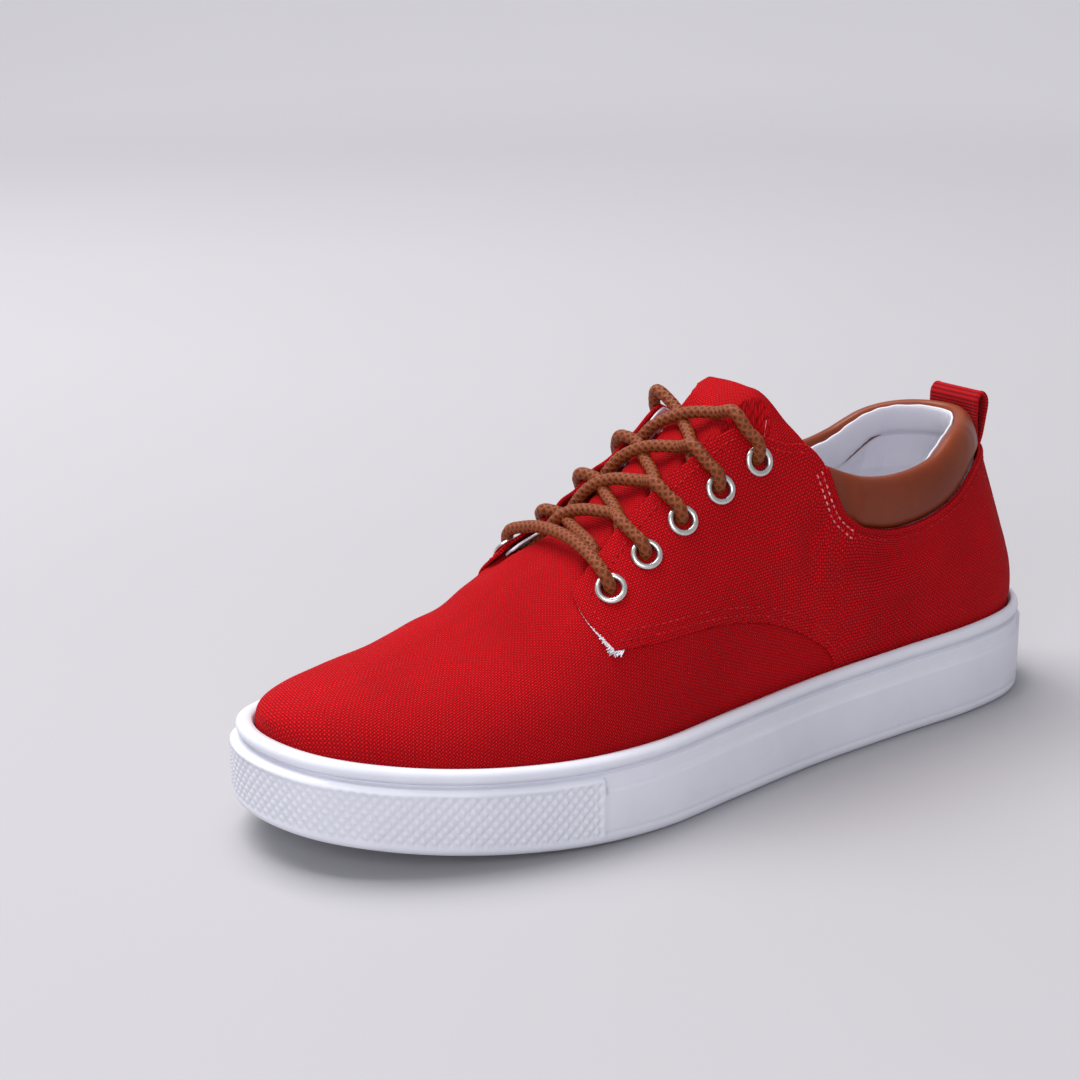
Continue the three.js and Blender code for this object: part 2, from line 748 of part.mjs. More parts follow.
function laceBar() {
  const { t, v } = EYELETS[0];
  const point = (share) => {
    const lift = Math.abs(share) > 0.6 ? LACE_OVER_EYELET : LACE_CLEAR;
    return strandPoint(t, share * (1 - v), lift);
  };
  return cord([1, 0.8, 0.4, 0.1, -0.1, -0.4, -0.8, -1].map(point), 12, LACE_SIDES);
}

// ---------------------------------------------------------------- materials
const RUBBER = { color: 0xe4e4ea, roughness: 0.45, metalness: 0 };
const CANVAS = { color: 0xa4141c, roughness: 0.85, metalness: 0 };
const LEATHER = { color: 0x6a2f1b, roughness: 0.5, metalness: 0 };
const WEBBING = { color: 0x960f18, roughness: 0.8, metalness: 0 };
const STEEL = { color: 0xc9ccd0, roughness: 0.25, metalness: 1 };
const CORD = { color: 0x7a3a20, roughness: 0.6, metalness: 0 };
const LINING = { color: 0xe8e6ee, roughness: 0.8, metalness: 0 };

const group = new THREE.Group();
group.name = 'canvas_sneaker';

function addPiece(name, geometry, finish) {
  const mesh = new THREE.Mesh(facingOut(geometry), new THREE.MeshStandardMaterial(finish));
  mesh.name = name;
  group.add(mesh);
  return mesh;
}

addPiece('cup_sole', cupSole(), RUBBER);
addPiece('upper', upper(), CANVAS);
addPiece('insole', insole(), LINING);
addPiece('tongue', tongue(), CANVAS);
addPiece('collar', collar(), LEATHER);
addPiece('pull_loop', pullLoop(), WEBBING);
for (const { side, row, centre, axis } of eyeletPlaces()) {
  const name = `eyelet_${side > 0 ? 'lateral' : 'medial'}_${row}`;
  const eyelet = addPiece(name, eyeletGeometry(), STEEL);
  eyelet.position.copy(centre);
  eyelet.quaternion.setFromUnitVectors(new THREE.Vector3(0, 1, 0), axis);
}
addPiece('lace_bar', laceBar(), CORD);
for (let row = 1; row < EYELET_COUNT; row += 1) addPiece(`lace_cross_${row}`, laceCross(row), CORD);

export default group;
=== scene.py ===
import math

import bpy
import numpy as np
from mathutils import Matrix, Vector


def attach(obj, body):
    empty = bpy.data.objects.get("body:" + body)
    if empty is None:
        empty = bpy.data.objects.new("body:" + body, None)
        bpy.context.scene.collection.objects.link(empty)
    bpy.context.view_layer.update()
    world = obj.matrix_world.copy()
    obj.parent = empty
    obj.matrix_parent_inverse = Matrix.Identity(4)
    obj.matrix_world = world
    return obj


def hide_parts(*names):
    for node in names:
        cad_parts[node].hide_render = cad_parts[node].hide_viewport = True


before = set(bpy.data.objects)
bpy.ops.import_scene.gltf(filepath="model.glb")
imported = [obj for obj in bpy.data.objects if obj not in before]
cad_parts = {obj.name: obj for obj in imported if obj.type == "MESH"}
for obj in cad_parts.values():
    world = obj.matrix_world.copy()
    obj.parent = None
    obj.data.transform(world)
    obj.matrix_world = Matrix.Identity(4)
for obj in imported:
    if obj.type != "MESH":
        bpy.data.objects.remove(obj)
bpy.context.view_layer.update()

# Left canvas sneaker. Lengths below are millimetres until a mesh is made; the frame is in metres.
# +Z is up, -Y is the toe, +X is the lateral side. t is the distance from the heel's back.
MM = 0.001
LENGTH = 300.0
CENTRE_SHIFT = 0.15
GAP = 0.35
LEAN_REACH = 100.0
THROAT_SAG = 4.0
SAG_BACK = 143.0
SAG_FRONT = 199.0
SAG_FADE = 14.0
TOE_SPRING = 11.9
SPRING_START = 173.0
UPPER_WALL = 2.0
INSOLE_THICK = 4.0
COLLAR_THICK = 7.0
COLLAR_PROUD = 1.0
QUARTER_LIFT = 0.95  # outer face of the quarters over the last's surface
QUARTER_THICK = 1.05
VAMP_LIFT = -0.2
VAMP_THICK = 0.9
TUCKED = 4.0  # depth of the canvas's lower edge inside the sole
LINING_LIFT = -1.25
LINING_THICK = 0.75
LACE_RADIUS = 1.9
BRAID_LONG = 2.5
BRAID_STRANDS = 4
BRAID_RELIEF = 0.11
LOOP_WIDTH = 22.0
LOOP_THICK = 1.4


def table(names, *rows):
    """Named columns of a short table."""
    return dict(zip(names.split(), np.array(rows, float).T))


OUTLINE = table(
    "t mid half",
    (0, 0, 0), (6, 0, 18.6), (20, 0, 30.6), (45, 0.5, 36.3), (80, 2.3, 36.4), (120, 4.4, 37.2),
    (160, 4.8, 42.8), (190, 3.6, 48.8), (215, 1, 51.5), (240, -2, 50.2), (262, -4, 44.6),
    (280, -5.2, 35.4), (292, -6, 24.6), (300, -6.5, 0),
)
LAST = table(
    "t inset ridge ridge_x side top",
    (0, 5, 118, 0, 2.6, 2.6), (40, 5, 128, 0, 2.6, 2.6), (80, 5.5, 141, 1, 2.6, 2.5),
    (110, 5.8, 144, 3.5, 2.4, 2.3), (135, 6, 133.3, 5.5, 2.2, 2.1), (160, 6.2, 112.2, 3.8, 2.2, 2),
    (190, 6.4, 86, 1.6, 2.3, 1.9), (215, 6.5, 64.5, -1, 2.4, 1.9), (240, 6.7, 52.6, -3.5, 2.5, 2),
    (262, 7, 47.6, -5.4, 2.6, 2.1), (280, 7.3, 45.6, -6.6, 2.6, 2.2), (292, 7.5, 44, -6.6, 2.5, 2.2),
    (300, 7.5, 39, -6.6, 2.5, 2.2),
)
SOLE_LEVELS = table(
    "t floor ledge groove feather",
    (0, 18, 21.8, 27.2, 31.2), (150, 14, 19.2, 24.4, 27.4), (300, 12, 15.2, 20, 23.2),
)
HEEL_LEAN = table(
    "z lean", (30, 0.3), (45, 1.5), (60, 7), (75, 12.6), (90, 17.6), (105, 22), (120, 26)
)
COLLAR_SEAM = table(
    "t z",
    (0, 88), (22, 88), (37, 86), (54, 76.6), (65, 72.7), (77, 71), (91, 72.3), (101, 76.3),
    (108, 84), (113, 97.6),
)
QUARTER_TOP = table("t z", (113, 97.6), (117.5, 102.6), (129, 106), (143, 112.2))
FACING_EDGE = table("t z", (143, 112.2), (146.5, 111.2), (159, 104.4), (184, 87), (203, 70))
LOWER_FRONT = table(
    "t z",
    (107, 27.5), (111, 34.5), (120, 42), (133, 49.3), (147.5, 54.1), (168, 56.5), (186, 56),
    (200.1, 55.7),
)
FRONT_EDGE = table("t z", (200.1, 55.7), (203.6, 62), (204.1, 67.2), (202.9, 70.4), (199.1, 73.6))
COLLAR_CREST = table(
    "t z", (0, 100.5), (30, 100), (45, 97), (60, 91.3), (77, 88.6), (95, 90.6), (112, 97.4)
)
TONGUE_CREST = table(
    "t z",
    (100, 130), (115, 127.5), (130, 122.5), (137, 117.5), (145, 111.5), (160, 101.5), (175, 91.5),
    (190, 81.5), (205, 70.5), (220, 58),
)
# Edge of the facing on the last's surface, as an across value, against the distance from the heel.
THROAT = table(
    "t across",
    (100, 0.45), (125, 0.42), (141.8, 0.367), (157.3, 0.305), (169.4, 0.267), (182.5, 0.25),
    (199, 0.245), (230, 0.245),
)
# Distance from the heel at which each strand comes out under the facing's edge, by eyelet.
STRANDS_OUT = table("lateral medial", (194.1, 188.6), (184.3, 179.5), (170.5, 168), (157.5, 156))
EYELETS = table("t v", (194.3, 0.6), (181, 0.584), (167.2, 0.562), (153, 0.534), (138.1, 0.501))
LOOP_PATH = table(
    "t z",
    (22.4, 84.5), (20.4, 88.4), (19.2, 93), (19.5, 99), (20.7, 103.8), (22.8, 105.4), (24.7, 103.4),
    (24.0, 98.8), (22.6, 93.5), (22.0, 88.8), (23.2, 84.5),
)
# Soft creases in the canvas: a line from (t, z) to (t, z) on one side, its height and half width.
CREASES = table(
    "side t0 z0 t1 z1 height width",
    (1, 104, 66, 78, 56, -0.9, 5), (1, 101, 60, 72, 47, 0.7, 4.5), (1, 112, 82, 122, 60, -0.8, 5),
    (1, 120, 90, 134, 66, 0.6, 6), (1, 60, 62, 40, 56, -0.5, 6), (1, 150, 84, 170, 66, -0.5, 7),
    (1, 92, 64, 60, 61, -0.7, 4), (1, 34, 74, 26, 50, 0.5, 6),
    (-1, 104, 64, 80, 54, -0.8, 5), (-1, 100, 57, 74, 45, 0.6, 5), (-1, 112, 84, 124, 62, -0.8, 5),
    (-1, 60, 64, 44, 54, -0.5, 6), (-1, 150, 82, 172, 64, -0.5, 7), (-1, 90, 62, 62, 60, -0.6, 4),
)
# Soft creases across the vamp: distance from the heel on the crest and at the flanks.
VAMP_FOLDS = table(
    "t bend height width",
    (222, 14, -0.45, 5), (232, 18, 0.35, 5), (213, 10, 0.3, 4), (250, 22, -0.25, 7),
)


# ------------------------------------------------------------------ interpolation
def angle_of(t):
    return np.arccos(np.clip(1 - 2 * np.asarray(t, float) / LENGTH, -1, 1))


def distance_of(angle):
    return LENGTH * (1 - np.cos(angle)) / 2


def smooth(value):
    value = np.clip(value, 0, 1)
    return value * value * (3 - 2 * value)


def curve(rows, key, column, abscissa=lambda value: np.asarray(value, float)):
    """Smooth curve through a table's column."""
    xs, ys = abscissa(rows[key]), rows[column]
    step = np.diff(xs)
    slope = np.diff(ys) / step
    inner = (slope[:-1] * step[1:] + slope[1:] * step[:-1]) / (step[:-1] + step[1:])
    tangent = np.concatenate([slope[:1], inner, slope[-1:]])

    def at(value):
        x = np.clip(abscissa(value), xs[0], xs[-1])
        i = np.clip(np.searchsorted(xs, x, side="right") - 1, 0, len(xs) - 2)
        h = xs[i + 1] - xs[i]
        u = (x - xs[i]) / h
        rise = 3 * u**2 - 2 * u**3
        start = tangent[i] * h * (u**3 - 2 * u**2 + u)
        end = tangent[i + 1] * h * (u**3 - u**2)
        return ys[i] * (1 - rise) + start + ys[i + 1] * rise + end

    return at


outline_mid = curve(OUTLINE, "t", "mid", angle_of)
outline_half = curve(OUTLINE, "t", "half", angle_of)
feather_inset = curve(LAST, "t", "inset", angle_of)
ridge_height = curve(LAST, "t", "ridge", angle_of)
ridge_x = curve(LAST, "t", "ridge_x", angle_of)
side_fullness = curve(LAST, "t", "side", angle_of)
top_fullness = curve(LAST, "t", "top", angle_of)
heel_lean = curve(HEEL_LEAN, "z", "lean")
collar_seam = curve(COLLAR_SEAM, "t", "z")
quarter_top = curve(QUARTER_TOP, "t", "z")
facing_edge = curve(FACING_EDGE, "t", "z")
lower_front = curve(LOWER_FRONT, "t", "z")
collar_crest = curve(COLLAR_CREST, "t", "z")
tongue_crest = curve(TONGUE_CREST, "t", "z")
throat_across = curve(THROAT, "t", "across")


def spring(t):
    return TOE_SPRING * np.clip((t - SPRING_START) / (LENGTH - SPRING_START), 0, 1) ** 2


def sole_level(column):
    level = curve(SOLE_LEVELS, "t", column)
    return lambda t: spring(t) + level(t)


cup_floor = sole_level("floor")
ledge = sole_level("ledge")
groove = sole_level("groove")
feather = sole_level("feather")


# ------------------------------------------------------------------ the last's surface
def outline(angle, side, inset):
    """x and t of the sole's outline on one side, moved inwards."""
    angle, side, inset = np.broadcast_arrays(angle, side, inset)
    step = 1e-3

    def at(a):
        t = distance_of(np.clip(a, 0, np.pi))
        return outline_mid(t) - CENTRE_SHIFT + side * outline_half(t), t

    x, t = at(angle)
    x1, t1 = at(angle + step)
    x0, t0 = at(angle - step)
    size = np.hypot(x1 - x0, t1 - t0)
    heel, toe = angle <= 1e-9, angle >= np.pi - 1e-9
    in_x = np.where(heel | toe, 0, -side * (t1 - t0) / size)
    in_t = np.where(heel, 1, np.where(toe, -1, side * (x1 - x0) / size))
    return x + inset * in_x, t + inset * in_t


def lean_at(t, z):
    return smooth(1 - t / LEAN_REACH) * heel_lean(z)


def point(x, t, z):
    return np.stack(np.broadcast_arrays(x, LENGTH / 2 - t, z), -1)


def throat_sag(t, across):
    """How far the throat sinks under the lacing: fully from the crest to the medial facing."""
    along = smooth((t - SAG_BACK) / SAG_FADE) * smooth((SAG_FRONT - t) / SAG_FADE)
    return THROAT_SAG * along * smooth((0.22 - across) / 0.22) * smooth((across + 0.9) / 0.65)


def upper_point(angle, across):
    angle, across = np.broadcast_arrays(np.asarray(angle, float), np.asarray(across, float))
    side = np.where(across >= 0, 1.0, -1.0)
    t = distance_of(angle)
    inset = feather_inset(t)
    foot_x, foot_t = outline(angle, side, inset)
    other_t = outline(angle, -side, inset)[1]
    crest_t = (foot_t + other_t) / 2
    crest_x = ridge_x(t) - CENTRE_SHIFT
    low = feather(foot_t)
    high = np.maximum(ridge_height(t), low + 0.001)
    turn = (1 - np.abs(across)) * np.pi / 2
    out = np.maximum(0, np.cos(turn)) ** (2 / side_fullness(t))
    up = np.maximum(0, np.sin(turn)) ** (2 / top_fullness(t))
    z = low + (high - low) * up - throat_sag(t, across)
    x = crest_x + (foot_x - crest_x) * out
    place = crest_t + (foot_t - crest_t) * out + lean_at(t, z)
    return point(x, place, z)


def unit(vectors):
    return vectors / np.maximum(np.linalg.norm(vectors, axis=-1, keepdims=True), 1e-12)


def upper_normal(angle, across):
    angle, across = np.broadcast_arrays(np.asarray(angle, float), np.asarray(across, float))
    step = 0.004
    tip = (angle <= 1e-9) | (angle >= np.pi - 1e-9)
    place = np.where(tip, np.abs(across), across)
    along = upper_point(np.clip(angle + step, 0, np.pi), place)
    along = along - upper_point(np.clip(angle - step, 0, np.pi), place)
    over = upper_point(angle, np.clip(place + step, -1, 1))
    over = over - upper_point(angle, np.clip(place - step, -1, 1))
    normal = np.cross(along, over)
    normal[..., 0] = np.where(tip, 0, normal[..., 0])
    return unit(normal)


def upper_offset(angle, across, distance):
    distance = np.asarray(distance, float)[..., None]
    return upper_point(angle, across) + upper_normal(angle, across) * distance


def across_at_height(angle, side, height):
    angle, side, height = np.broadcast_arrays(
        np.asarray(angle, float), np.asarray(side, float), np.asarray(height, float)
    )
    low, high = np.ones(angle.shape), np.zeros(angle.shape)
    for _ in range(24):
        middle = (low + high) / 2
        under = upper_point(angle, side * middle)[..., 2] < height
        low, high = np.where(under, middle, low), np.where(under, high, middle)
    return side * (low + high) / 2


def on_surface(place, z, side):
    """Angle and across of the surface point seen from the side at a distance and a height."""
    place, z = np.broadcast_arrays(np.asarray(place, float), np.asarray(z, float))
    t = place.copy()
    for _ in range(9):
        across = across_at_height(angle_of(t), side, z)
        here = LENGTH / 2 - upper_point(angle_of(t), across)[..., 1]
        t = np.clip(t + (place - here), 0, LENGTH)
    return angle_of(t), across_at_height(angle_of(t), side, z)


def crease(points, side):
    """Height of the soft creases at points of one side."""
    t, z = LENGTH / 2 - points[..., 1], points[..., 2]
    total = np.zeros(t.shape)
    for k in range(len(CREASES["t0"])):
        t0, z0, t1, z1 = (CREASES[name][k] for name in ("t0", "z0", "t1", "z1"))
        length = math.hypot(t1 - t0, z1 - z0)
        along = ((t - t0) * (t1 - t0) + (z - z0) * (z1 - z0)) / length**2
        aside = ((t - t0) * (z1 - z0) - (z - z0) * (t1 - t0)) / length
        aside = aside + 2.5 * np.sin(along * 4)
        ends = smooth(along / 0.35 + 0.3) * smooth((1 - along) / 0.35 + 0.3)
        bump = 1.6 * CREASES["height"][k] * np.exp(-((aside / CREASES["width"][k]) ** 2)) * ends
        total = total + np.where(side == CREASES["side"][k], bump, 0)
    return total


# ------------------------------------------------------------------ meshes
def merged(points, faces):
    """Points that coincide taken as one, without the faces that this collapses."""
    keys = np.round(points * 1000).astype(np.int64)
    _, first, inverse = np.unique(keys, axis=0, return_index=True, return_inverse=True)
    inverse = inverse.reshape(-1)
    kept = []
    for face in inverse[faces].tolist():
        ring = [v for i, v in enumerate(face) if v != face[i - 1]]
        if len(set(ring)) == len(ring) and len(ring) > 2:
            kept.append(ring)
    return first, inverse, kept


def grid_cells(index):
    """The four corners of each cell of a grid."""
    return np.stack([index[:-1, :-1], index[1:, :-1], index[1:, 1:], index[:-1, 1:]], -1)


def skin_cells(index):
    """The same for rows that are closed loops, as a list of cells."""
    turn = np.roll(index, -1, axis=1)
    return np.stack([index[:-1], index[1:], turn[1:], turn[:-1]], -1).reshape(-1, 4)


def weld(points, faces, extra):
    """Merges points that coincide, and drops unused ones and collapsed faces."""
    first, _, kept = merged(points, faces)
    used = np.unique(np.concatenate([np.array(ring) for ring in kept]))
    order = np.full(len(first), -1)
    order[used] = np.arange(len(used))
    lookup = order.tolist()
    rings = [[lookup[v] for v in ring] for ring in kept]
    return points[first[used]], rings, None if extra is None else extra[first[used]]


def signed_volume(points, rings):
    corners = [(r[0], r[i], r[i + 1]) for r in rings for i in range(1, len(r) - 1)]
    a, b, c = (points[np.array(corners)[:, k]] for k in range(3))
    return (a * np.cross(b, c)).sum()


def add_mesh(name, points, rings, material, extra=None):
    """An object from points in millimetres. extra is a coordinate in millimetres for its pattern."""
    if signed_volume(points, rings) < 0:
        rings = [ring[::-1] for ring in rings]
    mesh = bpy.data.meshes.new(name)
    mesh.from_pydata((points * MM).tolist(), [], rings)
    if extra is not None:
        field = mesh.attributes.new("pattern", "FLOAT_VECTOR", "POINT")
        field.data.foreach_set("vector", np.ascontiguousarray(extra, np.float32).ravel())
    mesh.polygons.foreach_set("use_smooth", [True] * len(mesh.polygons))
    mesh.update()
    piece = bpy.data.objects.new(name, mesh)
    bpy.context.scene.collection.objects.link(piece)
    mesh.materials.append(material)
    return piece


def shell(name, front, back, material, extra=None, keep=None, zipped=(), bulge=0.45):
    """A closed sheet between two grids of points, with rounded edges round every kept cell."""
    rows, columns = front.shape[:2]
    count = rows * columns
    if keep is None:
        keep = np.ones((rows - 1, columns - 1), bool)
    index = np.arange(count).reshape(rows, columns)
    cells = grid_cells(index)
    faces = [cells[keep], cells[keep][:, ::-1] + count]
    room = np.zeros((rows + 1, columns + 1), bool)
    room[1:-1, 1:-1] = keep
    left = room[1:-1, 1:] & ~room[1:-1, :-1]
    right = room[1:-1, :-1] & ~room[1:-1, 1:]
    first = room[1:, 1:-1] & ~room[:-1, 1:-1]
    last = room[:-1, 1:-1] & ~room[1:, 1:-1]
    if "first" in zipped:
        first[0] = False
    if "last" in zipped:
        last[-1] = False
    edges = []
    for mask, start, end in (
        (left, index[:-1], index[1:]),
        (right, index[1:], index[:-1]),
        (first, index[:, 1:], index[:, :-1]),
        (last, index[:, :-1], index[:, 1:]),
    ):
        edges.append(np.stack([start[mask], end[mask]], -1))
    edges = np.concatenate(edges)
    centres = (front[:-1, :-1] + front[1:, :-1] + front[1:, 1:] + front[:-1, 1:]) / 4
    total, weight = np.zeros(front.shape), np.zeros((rows, columns, 1))
    solid = keep[..., None].astype(float)
    for i in (0, 1):
        for j in (0, 1):
            total[i : rows - 1 + i, j : columns - 1 + j] += centres * solid
            weight[i : rows - 1 + i, j : columns - 1 + j] += solid
    outward = unit(front - total / np.maximum(weight, 1))
    thick = np.linalg.norm(front - back, axis=-1, keepdims=True)
    middle = (front + back) / 2 + outward * thick * bulge
    p, q = edges[:, 0], edges[:, 1]
    faces.append(np.stack([q, p, p + 2 * count, q + 2 * count], -1))
    faces.append(np.stack([q + 2 * count, p + 2 * count, p + count, q + count], -1))
    points = np.concatenate([front.reshape(-1, 3), back.reshape(-1, 3), middle.reshape(-1, 3)])
    spread = None if extra is None else np.tile(extra.reshape(-1, 3), (3, 1))
    points, rings, spread = weld(points, np.concatenate(faces), spread)
    return add_mesh(name, points, rings, material, spread)


def loops_mesh(name, loops, material, extra=None, capped=False):
    """The skin over closed loops of points."""
    rows, columns = loops.shape[:2]
    index = np.arange(rows * columns).reshape(rows, columns)
    faces = skin_cells(index)
    points = loops.reshape(-1, 3)
    spread = None if extra is None else extra.reshape(-1, 3)
    if capped:
        ends = []
        for row, flip in ((0, 1), (rows - 1, -1)):
            centre = len(points)
            points = np.concatenate([points, loops[row].mean(0)[None]])
            if spread is not None:
                spread = np.concatenate([spread, spread[row * columns][None]])
            after = np.roll(index[row], -1)
            fan = np.stack([index[row], after, np.full(columns, centre)], -1)[:, ::flip]
            ends.append(np.concatenate([fan, fan[:, -1:]], -1))
        faces = np.concatenate([faces, *ends])
    points, rings, spread = weld(points, faces, spread)
    return add_mesh(name, points, rings, material, spread)


def run_of(points):
    """Length along a path at each of its points."""
    return np.concatenate([[0], np.cumsum(np.linalg.norm(np.diff(points, axis=0), axis=1))])


def values_at(at, lengths, vectors):
    """Vectors of a path at other lengths along it."""
    return np.stack([np.interp(at, lengths, vectors[:, k]) for k in range(3)], -1)


def resample(points, step):
    """Points spaced evenly along a path."""
    lengths = run_of(points)
    count = max(2, int(lengths[-1] / step) + 1)
    return values_at(np.linspace(0, lengths[-1], count), lengths, points)


def between(u, low, high, a, b):
    """a where u is low, b where it is high."""
    return (high - u) / (high - low) * a + (u - low) / (high - low) * b


def spline(points, per_span=12):
    """A smooth path through points (centripetal Catmull-Rom)."""
    points = np.asarray(points, float)
    padded = np.concatenate([2 * points[:1] - points[1:2], points, 2 * points[-1:] - points[-2:-1]])
    path = []
    for i in range(1, len(padded) - 2):
        p0, p1, p2, p3 = padded[i - 1 : i + 3]
        k = [0.0]
        for a, b in ((p0, p1), (p1, p2), (p2, p3)):
            k.append(k[-1] + max(np.linalg.norm(b - a), 1e-6) ** 0.5)
        u = np.linspace(k[1], k[2], per_span, endpoint=False)[:, None]
        a1 = between(u, k[0], k[1], p0, p1)
        a2 = between(u, k[1], k[2], p1, p2)
        a3 = between(u, k[2], k[3], p2, p3)
        b1 = between(u, k[0], k[2], a1, a2)
        b2 = between(u, k[1], k[3], a2, a3)
        path.append(between(u, k[1], k[2], b1, b2))
    path.append(points[-1:])
    return np.concatenate(path)


def frames_along(path):
    """Tangents and two side directions, carried along the path without twist."""
    tangent = unit(np.gradient(path, axis=0))
    side = np.zeros(path.shape)
    now = np.array([0.0, 0.0, 1.0])
    for i in range(len(path)):
        now = now - tangent[i] * (now @ tangent[i])
        now = now / max(np.linalg.norm(now), 1e-9)
        side[i] = now
    return tangent, side, np.cross(tangent, side)


def tube(path, radius, sides, relief=None):
    """Loops round a path. relief(along, turn) adds to the radius."""
    _, one, two = frames_along(path)
    along = run_of(path)
    turn = np.arange(sides) * 2 * np.pi / sides
    size = np.full((len(path), sides), float(radius))
    if relief is not None:
        size = size + relief(along[:, None], turn[None])
    ring = one[:, None] * np.cos(turn)[None, :, None] + two[:, None] * np.sin(turn)[None, :, None]
    loops = path[:, None] + ring * size[..., None]
    extra = np.stack(np.broadcast_arrays(along[:, None], turn[None] * radius, 0 * size), -1)
    return loops, extra


def flat_coordinates(points):
    """Flattens a grid of the surface, so that a weave keeps its size: millimetres along the cloth."""
    rows, columns = points.shape[:2]
    pick_i = np.unique(np.linspace(0, rows - 1, min(rows, 56)).round().astype(int))
    pick_j = np.unique(np.linspace(0, columns - 1, min(columns, 49)).round().astype(int))
    coarse = points[np.ix_(pick_i, pick_j)]
    index = np.arange(coarse.shape[0] * coarse.shape[1]).reshape(coarse.shape[:2])
    flat = coarse.reshape(-1, 3)
    first, inverse, rings = merged(flat, grid_cells(index).reshape(-1, 4))
    mesh = bpy.data.meshes.new("flat")
    mesh.from_pydata(flat[first].tolist(), [], rings)
    mesh.uv_layers.new(name="flat")
    helper = bpy.data.objects.new("flat", mesh)
    bpy.context.scene.collection.objects.link(helper)
    bpy.ops.object.select_all(action="DESELECT")
    bpy.context.view_layer.objects.active = helper
    helper.select_set(True)
    bpy.ops.object.mode_set(mode="EDIT")
    bpy.ops.mesh.select_all(action="SELECT")
    bpy.ops.uv.unwrap(method="ANGLE_BASED", margin=0.0, correct_aspect=False)
    bpy.ops.object.mode_set(mode="OBJECT")
    uv = np.zeros((len(first), 2))
    for loop, value in zip(mesh.loops, mesh.uv_layers["flat"].data):
        uv[loop.vertex_index] = value.uv
    bpy.data.objects.remove(helper)
    bpy.data.meshes.remove(mesh)
    grid = uv[inverse].reshape(*coarse.shape[:2], 2)
    step_3d = np.linalg.norm(np.diff(coarse, axis=0), axis=-1)
    step_uv = np.linalg.norm(np.diff(grid, axis=0), axis=-1)
    good = step_3d > 0.5
    grid = grid * np.median(step_3d[good] / np.maximum(step_uv[good], 1e-9))
    i, j = grid.shape[0] // 2, grid.shape[1] // 2
    along = grid[min(i + 4, grid.shape[0] - 1), j] - grid[i - 4, j]
    along = along / np.linalg.norm(along)
    turn = np.array([[along[1], -along[0]], [along[0], along[1]]])
    grid = grid @ turn.T
    rows_at, columns_at = np.arange(rows), np.arange(columns)
    middle = np.stack(
        [[np.interp(rows_at, pick_i, grid[:, j, k]) for j in range(len(pick_j))] for k in (0, 1)], -1
    )
    full = np.zeros((rows, columns, 3))
    for k in (0, 1):
        column = middle[:, :, k].T
        for row in range(rows):
            full[row, :, k] = np.interp(columns_at, pick_j, column[row])
    return full


def grid_coordinates(points):
    """Millimetres along the rows and columns of a grid that is nearly flat."""
    rows, columns = points.shape[:2]
    down = np.linalg.norm(np.diff(points[:, columns // 2], axis=0), axis=-1)
    over = np.linalg.norm(np.diff(points[rows // 2], axis=0), axis=-1)
    v = np.concatenate([[0], np.cumsum(down)])
    u = np.concatenate([[0], np.cumsum(over)])
    return np.stack(np.broadcast_arrays(u[None, :], v[:, None], 0.0), -1)


# ------------------------------------------------------------------ materials
def linear(r, g, b):
    """A colour given in 0 to 255 sRGB, as linear light."""
    def one(value):
        value = value / 255
        return value / 12.92 if value <= 0.04045 else ((value + 0.055) / 1.055) ** 2.4

    return (one(r), one(g), one(b), 1.0)


class Finish:
    """A material's node tree, with a short call for each kind of node used here."""

    def __init__(self, name):
        self.made = bpy.data.materials.new(name)
        self.made.use_nodes = True
        self.tree = self.made.node_tree
        self.place = self.node("ShaderNodeTexCoord").outputs["Object"]

    def put(self, socket, value):
        if isinstance(value, bpy.types.NodeSocket):
            self.tree.links.new(value, socket)
        else:
            socket.default_value = value

    def node(self, kind, inputs=(), **settings):
        made = self.tree.nodes.new(kind)
        for key, value in settings.items():
            setattr(made, key, value)
        for key, value in dict(inputs).items():
            self.put(made.inputs[key], value)
        return made

    def maths(self, operation, a, b=0.0, c=0.0):
        return self.node("ShaderNodeMath", {0: a, 1: b, 2: c}, operation=operation).outputs[0]

    def scaled(self, value, factor, plus=0.0):
        return self.maths("MULTIPLY_ADD", value, factor, plus)

    def wave(self, value, half):
        """Sine of a length in millimetres, with half its period."""
        return self.maths("SINE", self.scaled(value, math.pi / half))

    def mix(self, factor, a, b, blend="MIX"):
        inputs = {0: factor, 6: a, 7: b}
        return self.node("ShaderNodeMix", inputs, data_type="RGBA", blend_type=blend).outputs[2]

    def noise(self, vector, scale, detail=2.0, roughness=0.5):
        inputs = {"Vector": vector, "Scale": scale, "Detail": detail, "Roughness": roughness}
        return self.node("ShaderNodeTexNoise", inputs).outputs[0]

    def ramp(self, value, low, high):
        inputs = {0: value, 1: low, 2: high, 3: 0.0, 4: 1.0}
        return self.node("ShaderNodeMapRange", inputs, clamp=True).outputs[0]

    def bump(self, height, distance, strength):
        inputs = {"Strength": strength, "Distance": distance, "Height": height}
        return self.node("ShaderNodeBump", inputs).outputs[0]

    def pattern(self):
        """The mesh's own coordinate in millimetres: the vector, and its first two axes."""
        kind = "ShaderNodeAttribute"
        field = self.node(kind, attribute_name="pattern", attribute_type="GEOMETRY")
        vector = field.outputs["Vector"]
        split = self.node("ShaderNodeSeparateXYZ", {0: vector})
        return vector, split.outputs[0], split.outputs[1]

    def finish(self, **sockets):
        """Links or sets the shader's sockets, named with underscores for spaces."""
        shader = self.tree.nodes["Principled BSDF"]
        for key, value in sockets.items():
            self.put(shader.inputs[key.replace("_", " ")], value)
        return self.made


